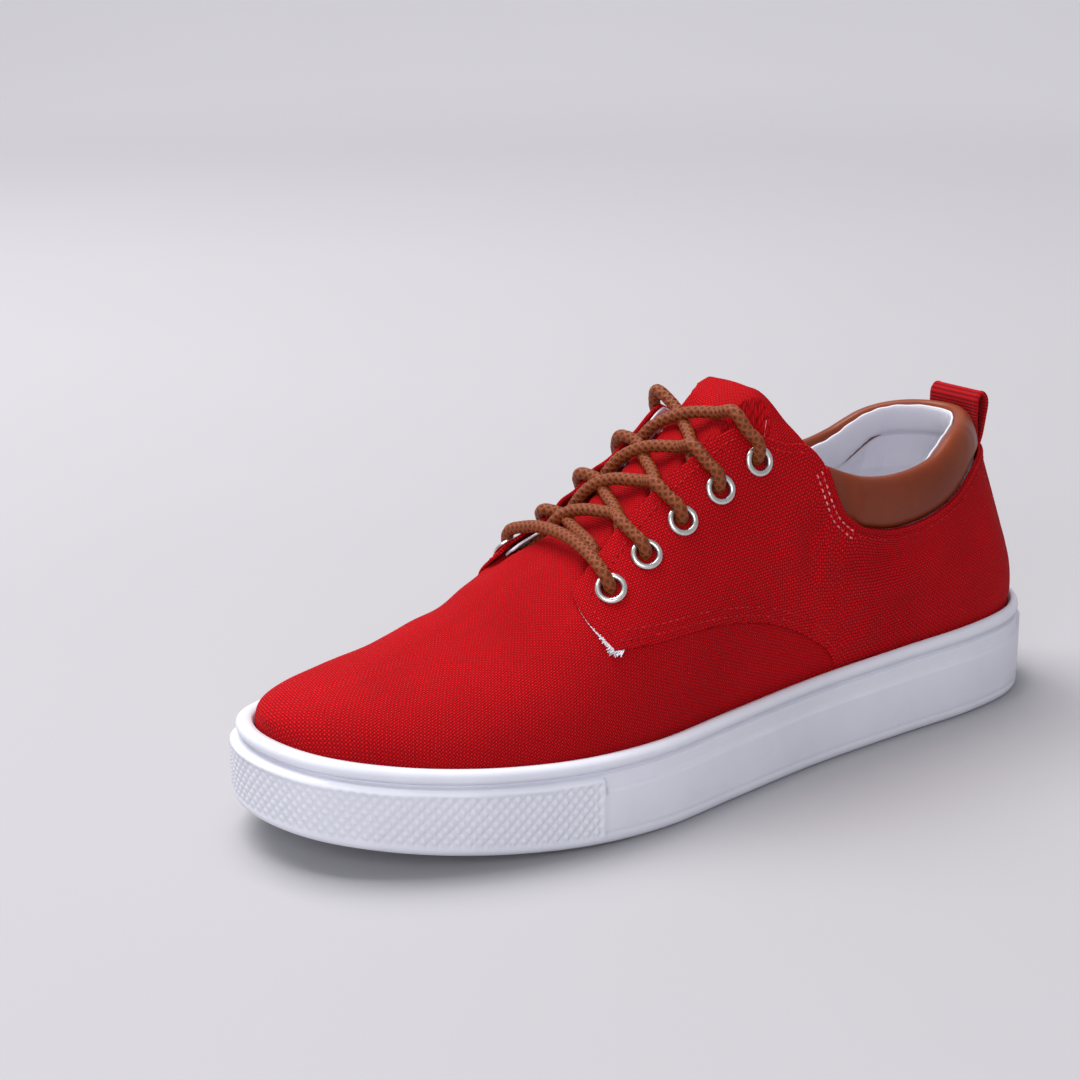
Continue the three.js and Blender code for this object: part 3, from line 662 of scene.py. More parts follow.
def canvas(name, dome_highlight, gap_shade, pitch):
    """Plain weave of thick yarns: domes in staggered rows with fuzz, painted highlight on top,
    painted shade in gaps.
    """
    f = Finish(name)
    vector, u, v = f.pattern()
    wander = f.scaled(f.maths("SUBTRACT", f.noise(vector, 0.35, 1.0), 0.5), 0.35)
    u = f.maths("ADD", u, wander)
    v = f.maths("ADD", v, wander)
    cell = f.maths("MULTIPLY", f.wave(u, pitch), f.wave(v, pitch * 0.82))
    over = f.maths("POWER", f.maths("MAXIMUM", cell, 0.0), 0.6)
    under = f.maths("POWER", f.maths("MAXIMUM", f.scaled(cell, -1.0), 0.0), 0.8)
    slub = f.noise(vector, 1.3, 3.0, 0.65)
    fibre = f.noise(vector, 6.0, 2.0, 0.7)
    height = f.scaled(fibre, 0.25, f.scaled(slub, 0.55, f.scaled(under, 0.55, over)))
    # The yarn's colour follows its height: painted highlight on the domes, painted shade in the gaps;
    # slub and fibre noise add real tone.
    tone = f.mix(f.ramp(height, 0.4, 1.3), gap_shade, dome_highlight)
    broad = f.ramp(f.noise(f.place, 22.0, 3.0), 0.35, 0.75)
    tone = f.mix(broad, tone, (0.78, 0.74, 0.74, 1), "MULTIPLY")
    fleck = f.ramp(f.noise(vector, 2.6, 2.0, 0.8), 0.7, 0.86)
    tone = f.mix(f.scaled(fleck, 0.2), tone, linear(238, 92, 96))
    return f.finish(
        Base_Color=tone, Normal=f.bump(height, 0.00036, 0.95), Roughness=0.86, Sheen_Weight=0.04,
        Sheen_Roughness=0.45, Sheen_Tint=linear(255, 60, 60), Specular_IOR_Level=0.08,
    )


def lining_cloth(name, colour, pitch):
    f = Finish(name)
    vector, u, v = f.pattern()
    cell = f.maths("ABSOLUTE", f.maths("MULTIPLY", f.wave(u, pitch), f.wave(v, pitch)))
    height = f.scaled(f.noise(vector, 1.6, 3.0, 0.6), 0.8, cell)
    # Painted shade: the cloth is darker where its weave lies low.
    shaded = [c * 0.86 for c in colour[:3]] + [1]
    tone = f.mix(f.ramp(height, 0.2, 1.3), shaded, colour)
    broad = f.ramp(f.noise(f.place, 30.0, 3.0), 0.3, 0.8)
    tone = f.mix(broad, tone, (0.9, 0.9, 0.94, 1), "MULTIPLY")
    relief = f.bump(height, 0.00012, 0.7)
    return f.finish(Base_Color=tone, Normal=relief, Roughness=0.85, Sheen_Weight=0.25)


def rubber():
    f = Finish("white_rubber")
    broad = f.noise(f.place, 18.0, 4.0, 0.6)
    smudge = f.ramp(f.noise(f.place, 45.0, 5.0, 0.65), 0.58, 0.78)
    tone = f.mix(f.ramp(broad, 0.3, 0.7), linear(213, 214, 224), linear(225, 226, 235))
    tone = f.mix(f.scaled(smudge, 0.35), tone, linear(206, 206, 214))
    return f.finish(
        Base_Color=tone, Normal=f.bump(f.noise(f.place, 900.0, 2.0), 0.00004, 0.6),
        Roughness=f.scaled(broad, 0.18, 0.36), Specular_IOR_Level=0.4,
    )


def leather():
    """Fine grain with pores, paler towards the collar's crest."""
    f = Finish("brown_leather")
    inputs = {"Vector": f.place, "Scale": 1100.0}
    grain = f.node("ShaderNodeTexVoronoi", inputs, feature="F1").outputs["Distance"]
    pores = f.noise(f.place, 1900.0, 2.0)
    broad = f.noise(f.place, 40.0, 4.0, 0.6)
    tone = f.mix(f.ramp(broad, 0.3, 0.72), linear(108, 41, 15), linear(126, 51, 21))
    tone = f.mix(f.scaled(pores, 0.25), tone, linear(92, 40, 20))
    top = f.node("ShaderNodeSeparateXYZ", {0: f.place}).outputs[2]
    tone = f.mix(f.scaled(f.ramp(top, 0.086, 0.1), 0.3), tone, linear(150, 74, 38))
    return f.finish(
        Base_Color=tone, Normal=f.bump(f.scaled(pores, 0.4, grain), 0.00008, 0.5),
        Roughness=f.scaled(broad, 0.16, 0.32), Specular_IOR_Level=0.28, Coat_Weight=0.03,
        Coat_Roughness=0.35,
    )


def webbing():
    f = Finish("red_webbing")
    vector, u, v = f.pattern()
    rib = f.maths("ABSOLUTE", f.wave(v, 1.1))
    warp = f.maths("ABSOLUTE", f.wave(u, 0.7))
    height = f.scaled(f.noise(vector, 2.0, 3.0), 0.4, f.scaled(warp, 0.5, rib))
    # Colour follows the height: painted shade in the hollows between the ribs, painted highlight on
    # their tops.
    return f.finish(
        Base_Color=f.mix(f.ramp(height, 0.4, 1.6), linear(98, 4, 10), linear(178, 14, 24)),
        Normal=f.bump(height, 0.0003, 0.8), Roughness=0.85, Sheen_Weight=0.03,
        Specular_IOR_Level=0.1,
    )


def steel():
    f = Finish("eyelet_steel")
    scratch = f.noise(f.place, 700.0, 4.0, 0.7)
    return f.finish(
        Base_Color=f.mix(scratch, linear(196, 194, 190), linear(232, 231, 228)),
        Normal=f.bump(scratch, 0.00002, 0.4), Roughness=f.scaled(scratch, 0.2, 0.2), Metallic=1.0,
    )


def waxed_cord():
    """Strands that cross in diagonals, each of finer threads."""
    f = Finish("brown_cord")
    vector, u, v = f.pattern()
    around = f.scaled(v, BRAID_STRANDS / LACE_RADIUS)
    along = f.scaled(u, 2 * math.pi / BRAID_LONG)
    one = f.maths("SINE", f.maths("ADD", along, around))
    two = f.maths("SINE", f.maths("SUBTRACT", along, around))
    braided = f.scaled(f.wave(u, 0.275), 0.22, f.maths("MAXIMUM", one, two))
    fibre = f.noise(vector, 5.0, 3.0, 0.7)
    height = f.scaled(fibre, 0.5, braided)
    # Colour follows the height: painted shade between the strands, painted highlight on their crowns;
    # fibre noise adds real tone.
    return f.finish(
        Base_Color=f.mix(f.ramp(height, -0.3, 1.4), linear(98, 44, 16), linear(142, 68, 26)),
        Normal=f.bump(height, 0.00018, 0.8), Roughness=f.scaled(fibre, 0.25, 0.38),
        Specular_IOR_Level=0.3,
    )


def thread(name, low, high):
    f = Finish(name)
    return f.finish(
        Base_Color=f.mix(f.ramp(f.noise(f.place, 260.0, 2.0), 0.35, 0.7), low, high),
        Normal=f.bump(f.noise(f.place, 2600.0, 2.0, 0.7), 0.0001, 0.6), Roughness=0.7,
        Specular_IOR_Level=0.1,
    )


def paper_floor():
    """Pale paper that glows a little away from the shoe, so that the sweep looks even."""
    f = Finish("studio_floor")
    reach = f.node("ShaderNodeVectorMath", {0: f.place}, operation="LENGTH").outputs["Value"]
    glow = f.mix(f.ramp(reach, 0.3, 2.6), (0, 0, 0, 1), linear(150, 149, 152))
    grain = f.noise(f.place, 3.0, 2.0)
    return f.finish(
        Base_Color=f.mix(grain, linear(176, 175, 178), linear(179, 178, 181)),
        Emission_Color=glow, Emission_Strength=1.0, Roughness=0.9, Specular_IOR_Level=0.1,
    )


# The two colours are the painted highlight on the weave's domes and the painted shade in its gaps.
RED = canvas("red_canvas", linear(236, 22, 32), linear(128, 4, 11), 0.8)
RED_THREAD = thread("red_thread", linear(142, 12, 20), linear(200, 44, 50))
PALE_THREAD = thread("pale_flecked_thread", linear(190, 70, 78), linear(236, 170, 172))
WHITE_THREAD = thread("white_thread", linear(214, 212, 220), linear(240, 239, 244))
LINING = lining_cloth("white_lining", linear(236, 235, 243), 1 / 2.2)
INSOLE = lining_cloth("insole_cloth", linear(232, 230, 240), 1 / 1.4)
RUBBER = rubber()
LEATHER = leather()
WEBBING = webbing()
STEEL = steel()
CORD = waxed_cord()


def finish_piece(piece, slot, *nodes):
    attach(piece, "root")
    if nodes:
        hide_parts(*nodes)
    return piece


# ------------------------------------------------------------------ cup sole
OUTLINE_EDGE = 3.5  # rounding of the tread's bottom edge
EDGE_HEIGHT = 3.0
WALL_INSET = 0.2
PANEL_TOE = 213.0  # distance from the heel where the knurled toe panel starts
PANEL_HEEL = 9.0  # where the knurled heel panel ends
KNURL_LONG = 3.3
KNURL_HIGH = 3.7
KNURL_DEPTH = 1.0
KNURL_STEPS = 6  # mesh steps in a diamond's length and height
WALL_ROWS = 42
GROOVE_DEPTH = 2.0
RIM = 9.0
TREAD_GROOVES = np.concatenate([np.arange(14, 84.1, 14), np.arange(138, 276.1, 12.5)])
GROOVE_WIDTH = 3.0
ARCH = (92.0, 126.0)


FINE = np.linspace(0, np.pi, 4001)
FINE_X, FINE_T = outline(FINE, 1, 0.0)
FINE_RUN = np.concatenate([[0], np.cumsum(np.hypot(np.diff(FINE_X), np.diff(FINE_T)))])


def run_length(angle):
    """Length along the lateral outline from the heel's back."""
    return np.interp(angle, FINE, FINE_RUN)


def sole_stations():
    """Angles of the sections. In the knurled panels they fall on the pattern's own grid."""
    step = KNURL_LONG / KNURL_STEPS
    toe_run = FINE_RUN[-1] - np.arange(0, FINE_RUN[-1] - run_length(angle_of(PANEL_TOE + 0.2)), step)
    heel_run = np.arange(0, run_length(angle_of(PANEL_HEEL - 0.15)), step)
    angles = [np.interp(heel_run, FINE_RUN, FINE), angle_of(np.array([PANEL_HEEL - 0.15]))]
    angles.append(np.linspace(angle_of(PANEL_HEEL + 0.15), angle_of(PANEL_TOE - 0.2), 130))
    angles += [angle_of(np.array([PANEL_TOE + 0.2])), np.interp(toe_run, FINE_RUN, FINE)]
    cuts = [[start, start + GROOVE_WIDTH] for start in TREAD_GROOVES] + [list(ARCH)]
    for place in np.array(cuts).ravel():
        angles.append(angle_of(np.array([place - 0.2, place + 0.2])))
    values = np.sort(np.concatenate(angles))
    keep = np.concatenate([[True], np.diff(values) > 6e-4])
    keep[-1] = True
    return values[keep]


def tread_depth(t):
    depth = np.zeros(t.shape)
    for start in TREAD_GROOVES:
        depth = np.where((t > start) & (t < start + GROOVE_WIDTH), GROOVE_DEPTH, depth)
    return np.where((t > ARCH[0]) & (t < ARCH[1]), 2.5, depth)


def sole_loops():
    angle = sole_stations()[:, None]
    t = distance_of(angle)
    toe = np.clip((t - 200) / 100, 0, 1)
    inner = feather_inset(t) - GAP
    panel = ((t > PANEL_TOE) | (t < PANEL_HEEL)).astype(float)
    walls = []
    for side in (1, -1):
        length = run_length(angle)
        length = np.where(t > LENGTH / 2, FINE_RUN[-1] - length, length)
        insets, heights = [], []
        bend = np.linspace(0, np.pi / 2, 7)[None]
        insets.append(WALL_INSET + (OUTLINE_EDGE - WALL_INSET) * (1 - np.sin(bend)) + 0 * t)
        heights.append(EDGE_HEIGHT * (1 - np.cos(bend)) + spring(t))
        rows = np.arange(1, WALL_ROWS + 1)[None]
        low, high = spring(t) + EDGE_HEIGHT, groove(t) - 0.7
        even = low + (high - low) * rows / WALL_ROWS
        knurled = np.minimum(low + rows * KNURL_HIGH / KNURL_STEPS, high)
        z = even + (knurled - even) * panel
        above = z - spring(t)
        step = smooth((z - ledge(t) + 0.4) / 0.9)
        plain = WALL_INSET + 1.25 * step + 0.25 * np.exp(-(((above - 4.2) / 0.35) ** 2))
        p = length / KNURL_LONG + (above - EDGE_HEIGHT) / KNURL_HIGH
        q = length / KNURL_LONG - (above - EDGE_HEIGHT) / KNURL_HIGH
        saw_p = 1 - np.abs(2 * (p - np.floor(p)) - 1)
        saw_q = 1 - np.abs(2 * (q - np.floor(q)) - 1)
        pyramid = np.minimum(saw_p, saw_q)
        top = groove(t) - 2.4
        inside = smooth((top - z) / 0.5) * smooth((above - 3.2) / 0.5)
        toe_end = smooth((t - PANEL_TOE - 0.8) / 0.6)
        heel_end = smooth((PANEL_HEEL - 0.8 - t) / 0.6)
        ends = np.where(t > LENGTH / 2, toe_end, heel_end)
        field = inside * ends
        bordered = 0.05 + field * (0.8 - KNURL_DEPTH * pyramid)
        bordered = bordered + 1.4 * smooth((z - top - 0.5) / 1.2)
        insets.append(panel * bordered + (1 - panel) * plain)
        heights.append(z)
        lip = [(1.6, -0.5), (2.5, -0.42), (3.1, -0.15), (3.1, 0.15), (2.4, 0.42)]
        insets.append(np.concatenate([inset + toe for inset, _ in lip], 1))
        heights.append(np.concatenate([groove(t) + rise for _, rise in lip], 1))
        swing = np.radians(np.linspace(-50, 92, 15))[None]
        reach = (feather(t) + 1.6 - groove(t) - 0.4) / 2
        centre = groove(t) + 0.4 + reach
        insets.append(1.1 + toe + 2.4 * (1 - np.cos(swing)))
        heights.append(centre + reach * np.sin(swing))
        insets.append(np.concatenate([inner - 0.7, inner, inner, inner], 1))
        rim, floor = feather(t), cup_floor(t)
        heights.append(np.concatenate([rim + 1.1, rim + 0.2, rim - (rim - floor) / 2, floor], 1))
        inset, height = np.concatenate(insets, 1), np.concatenate(heights, 1)
        at_x, at_t = outline(angle, side, inset)
        walls.append(point(at_x, at_t, height))
    lateral, medial = walls
    share = np.linspace(0, 1, 9)[None, 1:-1, None]
    floor = lateral[:, -1:] + (medial[:, -1:] - lateral[:, -1:]) * share
    floor[..., 2] = cup_floor(LENGTH / 2 - floor[..., 1])
    span = np.linalg.norm(medial[:, :1] - lateral[:, :1], axis=-1)
    edge = np.minimum((RIM - OUTLINE_EDGE) / np.maximum(span, 1e-6), 0.5)
    shares = np.concatenate([edge - 0.004, edge, 0.3 + 0 * edge, 0.5 + 0 * edge], 1)
    shares = np.sort(np.concatenate([shares, 1 - shares[:, :3]], 1), axis=1)[..., None]
    bottom = medial[:, :1] + (lateral[:, :1] - medial[:, :1]) * shares
    cut = tread_depth(t) * ((shares[..., 0] > edge - 0.002) & (shares[..., 0] < 1 - edge + 0.002))
    cut = np.where(span > 2 * RIM, cut, 0)
    bottom[..., 2] = spring(LENGTH / 2 - bottom[..., 1]) + cut
    return np.concatenate([lateral, floor, medial[:, ::-1], bottom], 1)


sole = loops_mesh("cup_sole_moulded", sole_loops(), RUBBER)
finish_piece(sole, "rubber", "cup_sole")

# ------------------------------------------------------------------ tongue surface and lace path
TONGUE_CLEAR = 0.6
TONGUE_BOW = 14.0
SHOULDER = 3.0
TONGUE_TOP = 131.0
TONGUE_TOP_SIDE = 115.0
TONGUE_EDGE = 0.6


def tongue_point(angle, across, depth):
    at = upper_offset(angle, across, -UPPER_WALL - TONGUE_CLEAR - np.asarray(depth, float))
    place = LENGTH / 2 - at[..., 1]
    crown = smooth((136 - place) / 14)
    cap = tongue_crest(place) - depth - (TONGUE_BOW + 8 * crown) * np.asarray(across) ** 2
    shoulder = SHOULDER + 11 * crown
    blend = np.clip(0.5 + (cap - at[..., 2]) / (2 * shoulder), 0, 1)
    at[..., 2] = cap + (at[..., 2] - cap) * blend - shoulder * blend * (1 - blend)
    return at


FLANGE_TOP = 2.1  # top of the eyelets' rims over the last's surface


def eyelet(side, row):
    return float(EYELETS["t"][row]), side * (1 - float(EYELETS["v"][row]))


def lace_strand(side, row, over):
    """From inside an eyelet, out under its facing, over the tongue and down into the next eyelet
    of the other side."""
    t0, a0 = eyelet(side, row)
    t1, a1 = eyelet(-side, row + 1)
    t_out = float(STRANDS_OUT["lateral" if side > 0 else "medial"][row])
    a_out = side * float(throat_across(t_out))
    far = -a_out + (a_out + a1) * 0.5

    def hidden(share, lift):
        t, across = t0 + (t_out - t0) * share, a0 + (a_out - a0) * share
        return upper_offset(angle_of(t), across, lift)

    def lifted(share, across, lift):
        return upper_offset(angle_of(t_out + (t1 - t_out) * share), across, lift)

    def on_tongue(share, across, rise):
        spot = tongue_point(angle_of(t_out + (t1 - t_out) * share), across, 0.0)
        return spot + np.array([0, 0, LACE_RADIUS + rise])

    hump = 3.4 if over else 0.0
    return [
        hidden(0.0, -3.0),
        hidden(0.25, -4.4),
        hidden(0.6, -4.2),
        hidden(0.97, -3.0),
        on_tongue(0.14, a_out * 0.68, -0.7 + hump * 0.3),
        on_tongue(0.28, a_out * 0.33, -1.0 + hump * 0.8),
        on_tongue(0.42, 0.0, -1.1 + hump),
        on_tongue(0.56, -a_out * 0.36, -0.9 + hump * 0.85),
        on_tongue(0.66, -a_out * 0.68, 0.2 + hump * 0.5),
        lifted(0.75, -a_out * 1.02, QUARTER_LIFT + LACE_RADIUS + 0.35),
        lifted(0.86, far, QUARTER_LIFT + LACE_RADIUS + 0.5),
        lifted(0.95, a1 * 0.87, FLANGE_TOP + LACE_RADIUS - 0.25),
        lifted(0.99, a1 * 0.94, FLANGE_TOP + LACE_RADIUS - 1.0),
        lifted(1.0, a1 * 0.975, 1.4),
        lifted(1.0, a1 * 0.99, -0.8),
    ]


def lace_half(side):
    """Crossings from the bottom eyelet of one side up to a top eyelet."""
    points = []
    for row in range(4):
        points += lace_strand(side, row, over=side < 0)
        side = -side
    t, across = eyelet(side, 4)
    points.append(upper_offset(angle_of(t), across, -3.2))
    return points


def lace_path():
    t, across = eyelet(1, 0)
    bar = []
    for share in (-0.99, -0.965, -0.88, -0.76, -0.6, -0.3, 0, 0.3, 0.6, 0.76, 0.88, 0.965, 0.99):
        over = FLANGE_TOP + LACE_RADIUS + 0.1
        lift = {0.99: -0.8, 0.965: 1.6, 0.88: over - 0.4, 0.76: over - 0.1}.get(abs(share), 2.9)
        if abs(share) < 0.5:
            lift = 1.9
        bar.append(upper_offset(angle_of(t), across * share, lift))
    first, second = lace_half(-1), lace_half(1)
    points = first[::-1] + bar + second
    path = resample(spline(points, 14), 0.36)
    for _ in range(14):
        path[1:-1] = path[1:-1] * 0.5 + (path[:-2] + path[2:]) * 0.25
    return resample(path, 0.36)


def braid(along, turn):
    one = np.sin(2 * np.pi * along / BRAID_LONG + BRAID_STRANDS * turn)
    two = np.sin(2 * np.pi * along / BRAID_LONG - BRAID_STRANDS * turn)
    return BRAID_RELIEF * np.maximum(one, two)


LACE = lace_path()


def pressed(points, reach=9.0):
    """Points of the tongue, pushed down where the lace lies on it."""
    flat = points.reshape(-1, 3).copy()
    near = (flat[:, 1] > LACE[:, 1].min() - 10) & (flat[:, 1] < LACE[:, 1].max() + 10)
    for part in np.array_split(np.nonzero(near)[0], 12):
        if len(part) == 0:
            continue
        gap = flat[part][:, None, :2] - LACE[None, ::2, :2]
        aside = np.hypot(gap[..., 0], gap[..., 1])
        under = LACE[None, ::2, 2] - LACE_RADIUS - 0.3 + 0.11 * aside**2
        limit = np.where(aside < reach, under, 1e3).min(1)
        soft = 0.5
        blend = np.clip(0.5 + (limit - flat[part, 2]) / (2 * soft), 0, 1)
        z = limit + (flat[part, 2] - limit) * blend - soft * blend * (1 - blend)
        flat[part, 2] = np.where(limit > 900, flat[part, 2], z)
    return flat.reshape(points.shape)


# ------------------------------------------------------------------ vamp and tongue
def vamp_end(across):
    reach = np.abs(across) / TONGUE_EDGE
    top = TONGUE_TOP - (TONGUE_TOP - TONGUE_TOP_SIDE) * np.minimum(reach, 1) ** 3
    return np.where(reach <= 1, top, TONGUE_TOP_SIDE - 26 * (np.abs(across) - TONGUE_EDGE))


def vamp_grid(rows, columns):
    across = np.sin(np.linspace(-1, 1, columns) * np.pi / 2 * 0.86) / math.sin(np.pi / 2 * 0.86)
    across = np.broadcast_to(across[None], (rows, columns))
    start = angle_of(vamp_end(across))
    share = np.linspace(0, 1, rows)[:, None]
    return start + (np.pi - start) * share, across


def vamp_folds(angle, across):
    t = distance_of(angle)
    total = np.zeros(t.shape)
    for k in range(len(VAMP_FOLDS["t"])):
        line = VAMP_FOLDS["t"][k] - VAMP_FOLDS["bend"][k] * across**2
        bump = np.exp(-(((t - line) / VAMP_FOLDS["width"][k]) ** 2)) * (1 - across**4)
        total = total + VAMP_FOLDS["height"][k] * bump
    return total


def vamp_face(angle, across, depth):
    t = distance_of(angle)
    base = upper_point(angle, across)
    side = np.where(across >= 0, 1, -1)
    rise = VAMP_LIFT + vamp_folds(angle, across) + crease(base, side)
    rise = np.where(np.abs(across) > 0.995, VAMP_LIFT, rise)
    rise = np.where(angle > np.pi - 1e-6, VAMP_LIFT, rise)
    outer = upper_offset(angle, across, rise - depth)
    inner = pressed(tongue_point(angle, across, 0.0))
    inner = inner - upper_normal(angle, across) * depth
    edge = throat_across(t)
    along = smooth((216 - t) / 20)
    aside = smooth((edge + 0.15 - np.abs(across)) / 0.12)
    blend = (along * aside)[..., None]
    face = outer * (1 - blend) + inner * blend
    face[..., 2] -= np.where(np.abs(across) > 0.999, TUCKED, 0.0)
    return face


angle, across = vamp_grid(210, 131)
vamp_front = vamp_face(angle, across, 0.0)
vamp_back = vamp_face(angle, across, VAMP_THICK)
vamp_cloth = flat_coordinates(upper_point(angle, across))
vamp = shell("vamp_and_tongue", vamp_front, vamp_back, RED, vamp_cloth, zipped=("last",))
finish_piece(vamp, "canvas", "upper", "tongue")


TONGUE_LINING_HALF = 0.44  # reach to each side at the vamp's end
TONGUE_LINING_TOP = 0.4  # reach at the tongue's top


def tongue_lining():
    w = np.linspace(-1, 1, 61)[None]
    top = vamp_end(TONGUE_LINING_HALF * w) + 1.8
    share = np.linspace(0, 1, 70)[:, None]
    t = top + (212 - top) * share
    reach = (TONGUE_LINING_HALF + (TONGUE_LINING_TOP - TONGUE_LINING_HALF) * share) * w
    surface = pressed(tongue_point(angle_of(t), reach, 0.0))
    normal = upper_normal(angle_of(t), reach)
    sunk = np.array([0, 0, 0.9]) * smooth((140 - t) / 10)[..., None]
    front = surface - normal * (VAMP_THICK + 0.1) - sunk
    back = surface - normal * (VAMP_THICK + 1.1) - sunk
    return front, back


front, back = tongue_lining()
piece = shell("tongue_lining", front, back, LINING, grid_coordinates(front))
finish_piece(piece, "lining", "tongue")

# ------------------------------------------------------------------ quarters
QUARTER_COLUMNS = 250
QUARTER_ROWS = 84
COLLAR_END = 113.0  # distance from the heel where the canvas leaves the collar
FACING_START = 143.0
FRONT_FOOT = 107.0  # where the quarter's lower edge meets the sole


def edge_between(rows_table, count):
    """Evenly spaced places on a smooth path through a table's t and z."""
    path = np.stack([rows_table["t"], rows_table["z"], 0 * rows_table["t"]], -1)
    fine = spline(path, 10)
    lengths = run_of(fine)
    even = values_at(np.linspace(0, lengths[-1], count), lengths, fine)
    return even[:, 0], even[:, 1]


def facing_height(t, side):
    return facing_edge(t) - throat_sag(t, side * throat_across(t))


def canvas_top(t, side):
    """Height of the canvas's top edge seen from the side."""
    collar, quarter, facing = collar_seam(t), quarter_top(t), facing_height(t, side)
    return np.where(t < COLLAR_END, collar, np.where(t < FACING_START, quarter, facing))


def quarter_bounds(side):
    """The quarter's place on the last: angle and across of a grid between its four edges."""
    end = float(FRONT_EDGE["t"][0])
    bottom_t = distance_of(np.linspace(0, 1, QUARTER_COLUMNS) * angle_of(end))
    top_t = bottom_t * float(FRONT_EDGE["t"][-1]) / end
    rise = lower_front(bottom_t)
    low_angle, low_across = on_surface(bottom_t, rise, side)
    plain = bottom_t < FRONT_FOOT
    low_angle = np.where(plain, angle_of(bottom_t), low_angle)
    low_across = np.where(plain, side * 1.0, low_across)
    high_angle, high_across = on_surface(top_t, canvas_top(top_t, side), side)
    high_angle[0] = 0
    high_across[0] = across_at_height(0.0, side, canvas_top(np.array(0.0), side))
    front_t, front_z = edge_between(FRONT_EDGE, QUARTER_ROWS)
    near_angle, near_across = on_surface(front_t, front_z, side)
    near_angle[0], near_across[0] = low_angle[-1], low_across[-1]
    near_angle[-1], near_across[-1] = high_angle[-1], high_across[-1]
    r = np.linspace(0, 1, QUARTER_ROWS)[None]
    s = np.linspace(0, 1, QUARTER_COLUMNS)[:, None]
    grids = []
    for low, high, near in (
        (low_angle, high_angle, near_angle),
        (low_across, high_across, near_across),
    ):
        back = low[0] + (high[0] - low[0]) * r
        grid = (1 - r) * low[:, None] + r * high[:, None] + (1 - s) * back + s * near[None]
        corners = (1 - s) * ((1 - r) * low[0] + r * high[0]) + s * ((1 - r) * low[-1] + r * high[-1])
        grids.append(grid - corners)
    return grids


def pucker(t, across):
    """Rise of the facing's edge where a strand comes out from under it."""
    total = np.zeros(t.shape)
    for lateral, medial in zip(STRANDS_OUT["lateral"], STRANDS_OUT["medial"]):
        place = np.where(across > 0, lateral, medial)
        total = total + 0.9 * np.exp(-(((t - place) / 2.9) ** 2))
    near = smooth(1 - (np.abs(across) - throat_across(t)) / 0.1)
    return total * near


def quarter_rise(angle, across, side):
    t = distance_of(angle)
    base = upper_point(angle, across)
    foot = feather(t)
    settle = 0.15 + 0.85 * smooth((base[..., 2] - foot) / 6)
    over_sole = smooth((base[..., 2] - foot) / 8)
    return QUARTER_LIFT * settle + crease(base, side) * over_sole + pucker(t, across)


EYE_RADIUS = 3.6
EYE_REACH = 6.0  # depth to either side in which cloth is punched


def eyelet_frames():
    made = []
    for side in (1, -1):
        for row in range(5):
            t, a = eyelet(side, row)
            centre, axis = upper_point(angle_of(t), a), upper_normal(angle_of(t), a)
            made.append((side, row + 1, centre, axis))
    return made


def punched(front, back):
    """Cells that stay outside the eyelets' barrels. The holes' edges are fitted to a circle."""
    keep = np.ones((front.shape[0] - 1, front.shape[1] - 1), bool)
    for _, _, centre, axis in eyelet_frames():
        away = front - centre
        depth = away @ axis
        flat = away - depth[..., None] * axis
        radius = np.linalg.norm(flat, axis=-1)
        near = np.abs(depth) < EYE_REACH
        inside = (radius < EYE_RADIUS) & near
        gone = inside[:-1, :-1] | inside[1:, :-1] | inside[1:, 1:] | inside[:-1, 1:]
        keep = keep & ~gone
        corner = np.zeros(radius.shape, bool)
        for i in (0, 1):
            for j in (0, 1):
                corner[i : corner.shape[0] - 1 + i, j : corner.shape[1] - 1 + j] |= gone
        rim = corner & ~inside & near
        for face in (front, back):
            away = face[rim] - centre
            depth = (away @ axis)[:, None]
            flat = away - depth * axis
            face[rim] = centre + depth * axis + unit(flat) * EYE_RADIUS
    return keep


def build_quarter(name, side):
    angle, across = quarter_bounds(side)
    angle = np.maximum(angle, 0.0)
    rise = quarter_rise(angle, across, side)
    front = upper_offset(angle, across, rise)
    back = upper_offset(angle, across, rise - QUARTER_THICK)
    for face in (front, back):
        face[:, 0, 2] -= np.where(distance_of(angle[:, 0]) < FRONT_FOOT - 1, TUCKED, 0.0)
        face[0, :, 0] += side * 0.25
    cloth = flat_coordinates(upper_point(angle, across))
    piece = shell(name, front, back, RED, cloth, keep=punched(front, back))
    finish_piece(piece, "canvas", "upper")
    return angle, across


quarter_grids = {}
for side, name in ((1, "quarter_lateral"), (-1, "quarter_medial")):
    quarter_grids[side] = build_quarter(name, side)

# ------------------------------------------------------------------ collar
COLLAR_TUCK = 117.0  # its front ends, behind the quarters
COLLAR_SQUARE = (0.85, 0.75)  # powers that make its section squarer, up and out


def collar_depths(place):
    """Thickness and outermost face of the collar, which sinks behind the quarters in front."""
    tuck = smooth((place - 97) / 5)
    return COLLAR_THICK - 2.5 * tuck, COLLAR_PROUD - 2.1 * tuck


def collar_low(place):
    seam = np.maximum(collar_seam(place - 1), collar_seam(place + 1)) + 0.2
    return np.where(place < 60, seam, np.minimum(seam, 76.2))


def collar_section(s):
    """Angle, side, place and the lower and upper height of the collar. s runs from -1 to 1."""
    side = np.where(s >= 0, 1, -1)
    angle = angle_of(COLLAR_TUCK) * np.abs(s)
    t = distance_of(angle)
    place = t + lean_at(t, 90.0)
    return angle, side, place, collar_low(place), collar_crest(place)


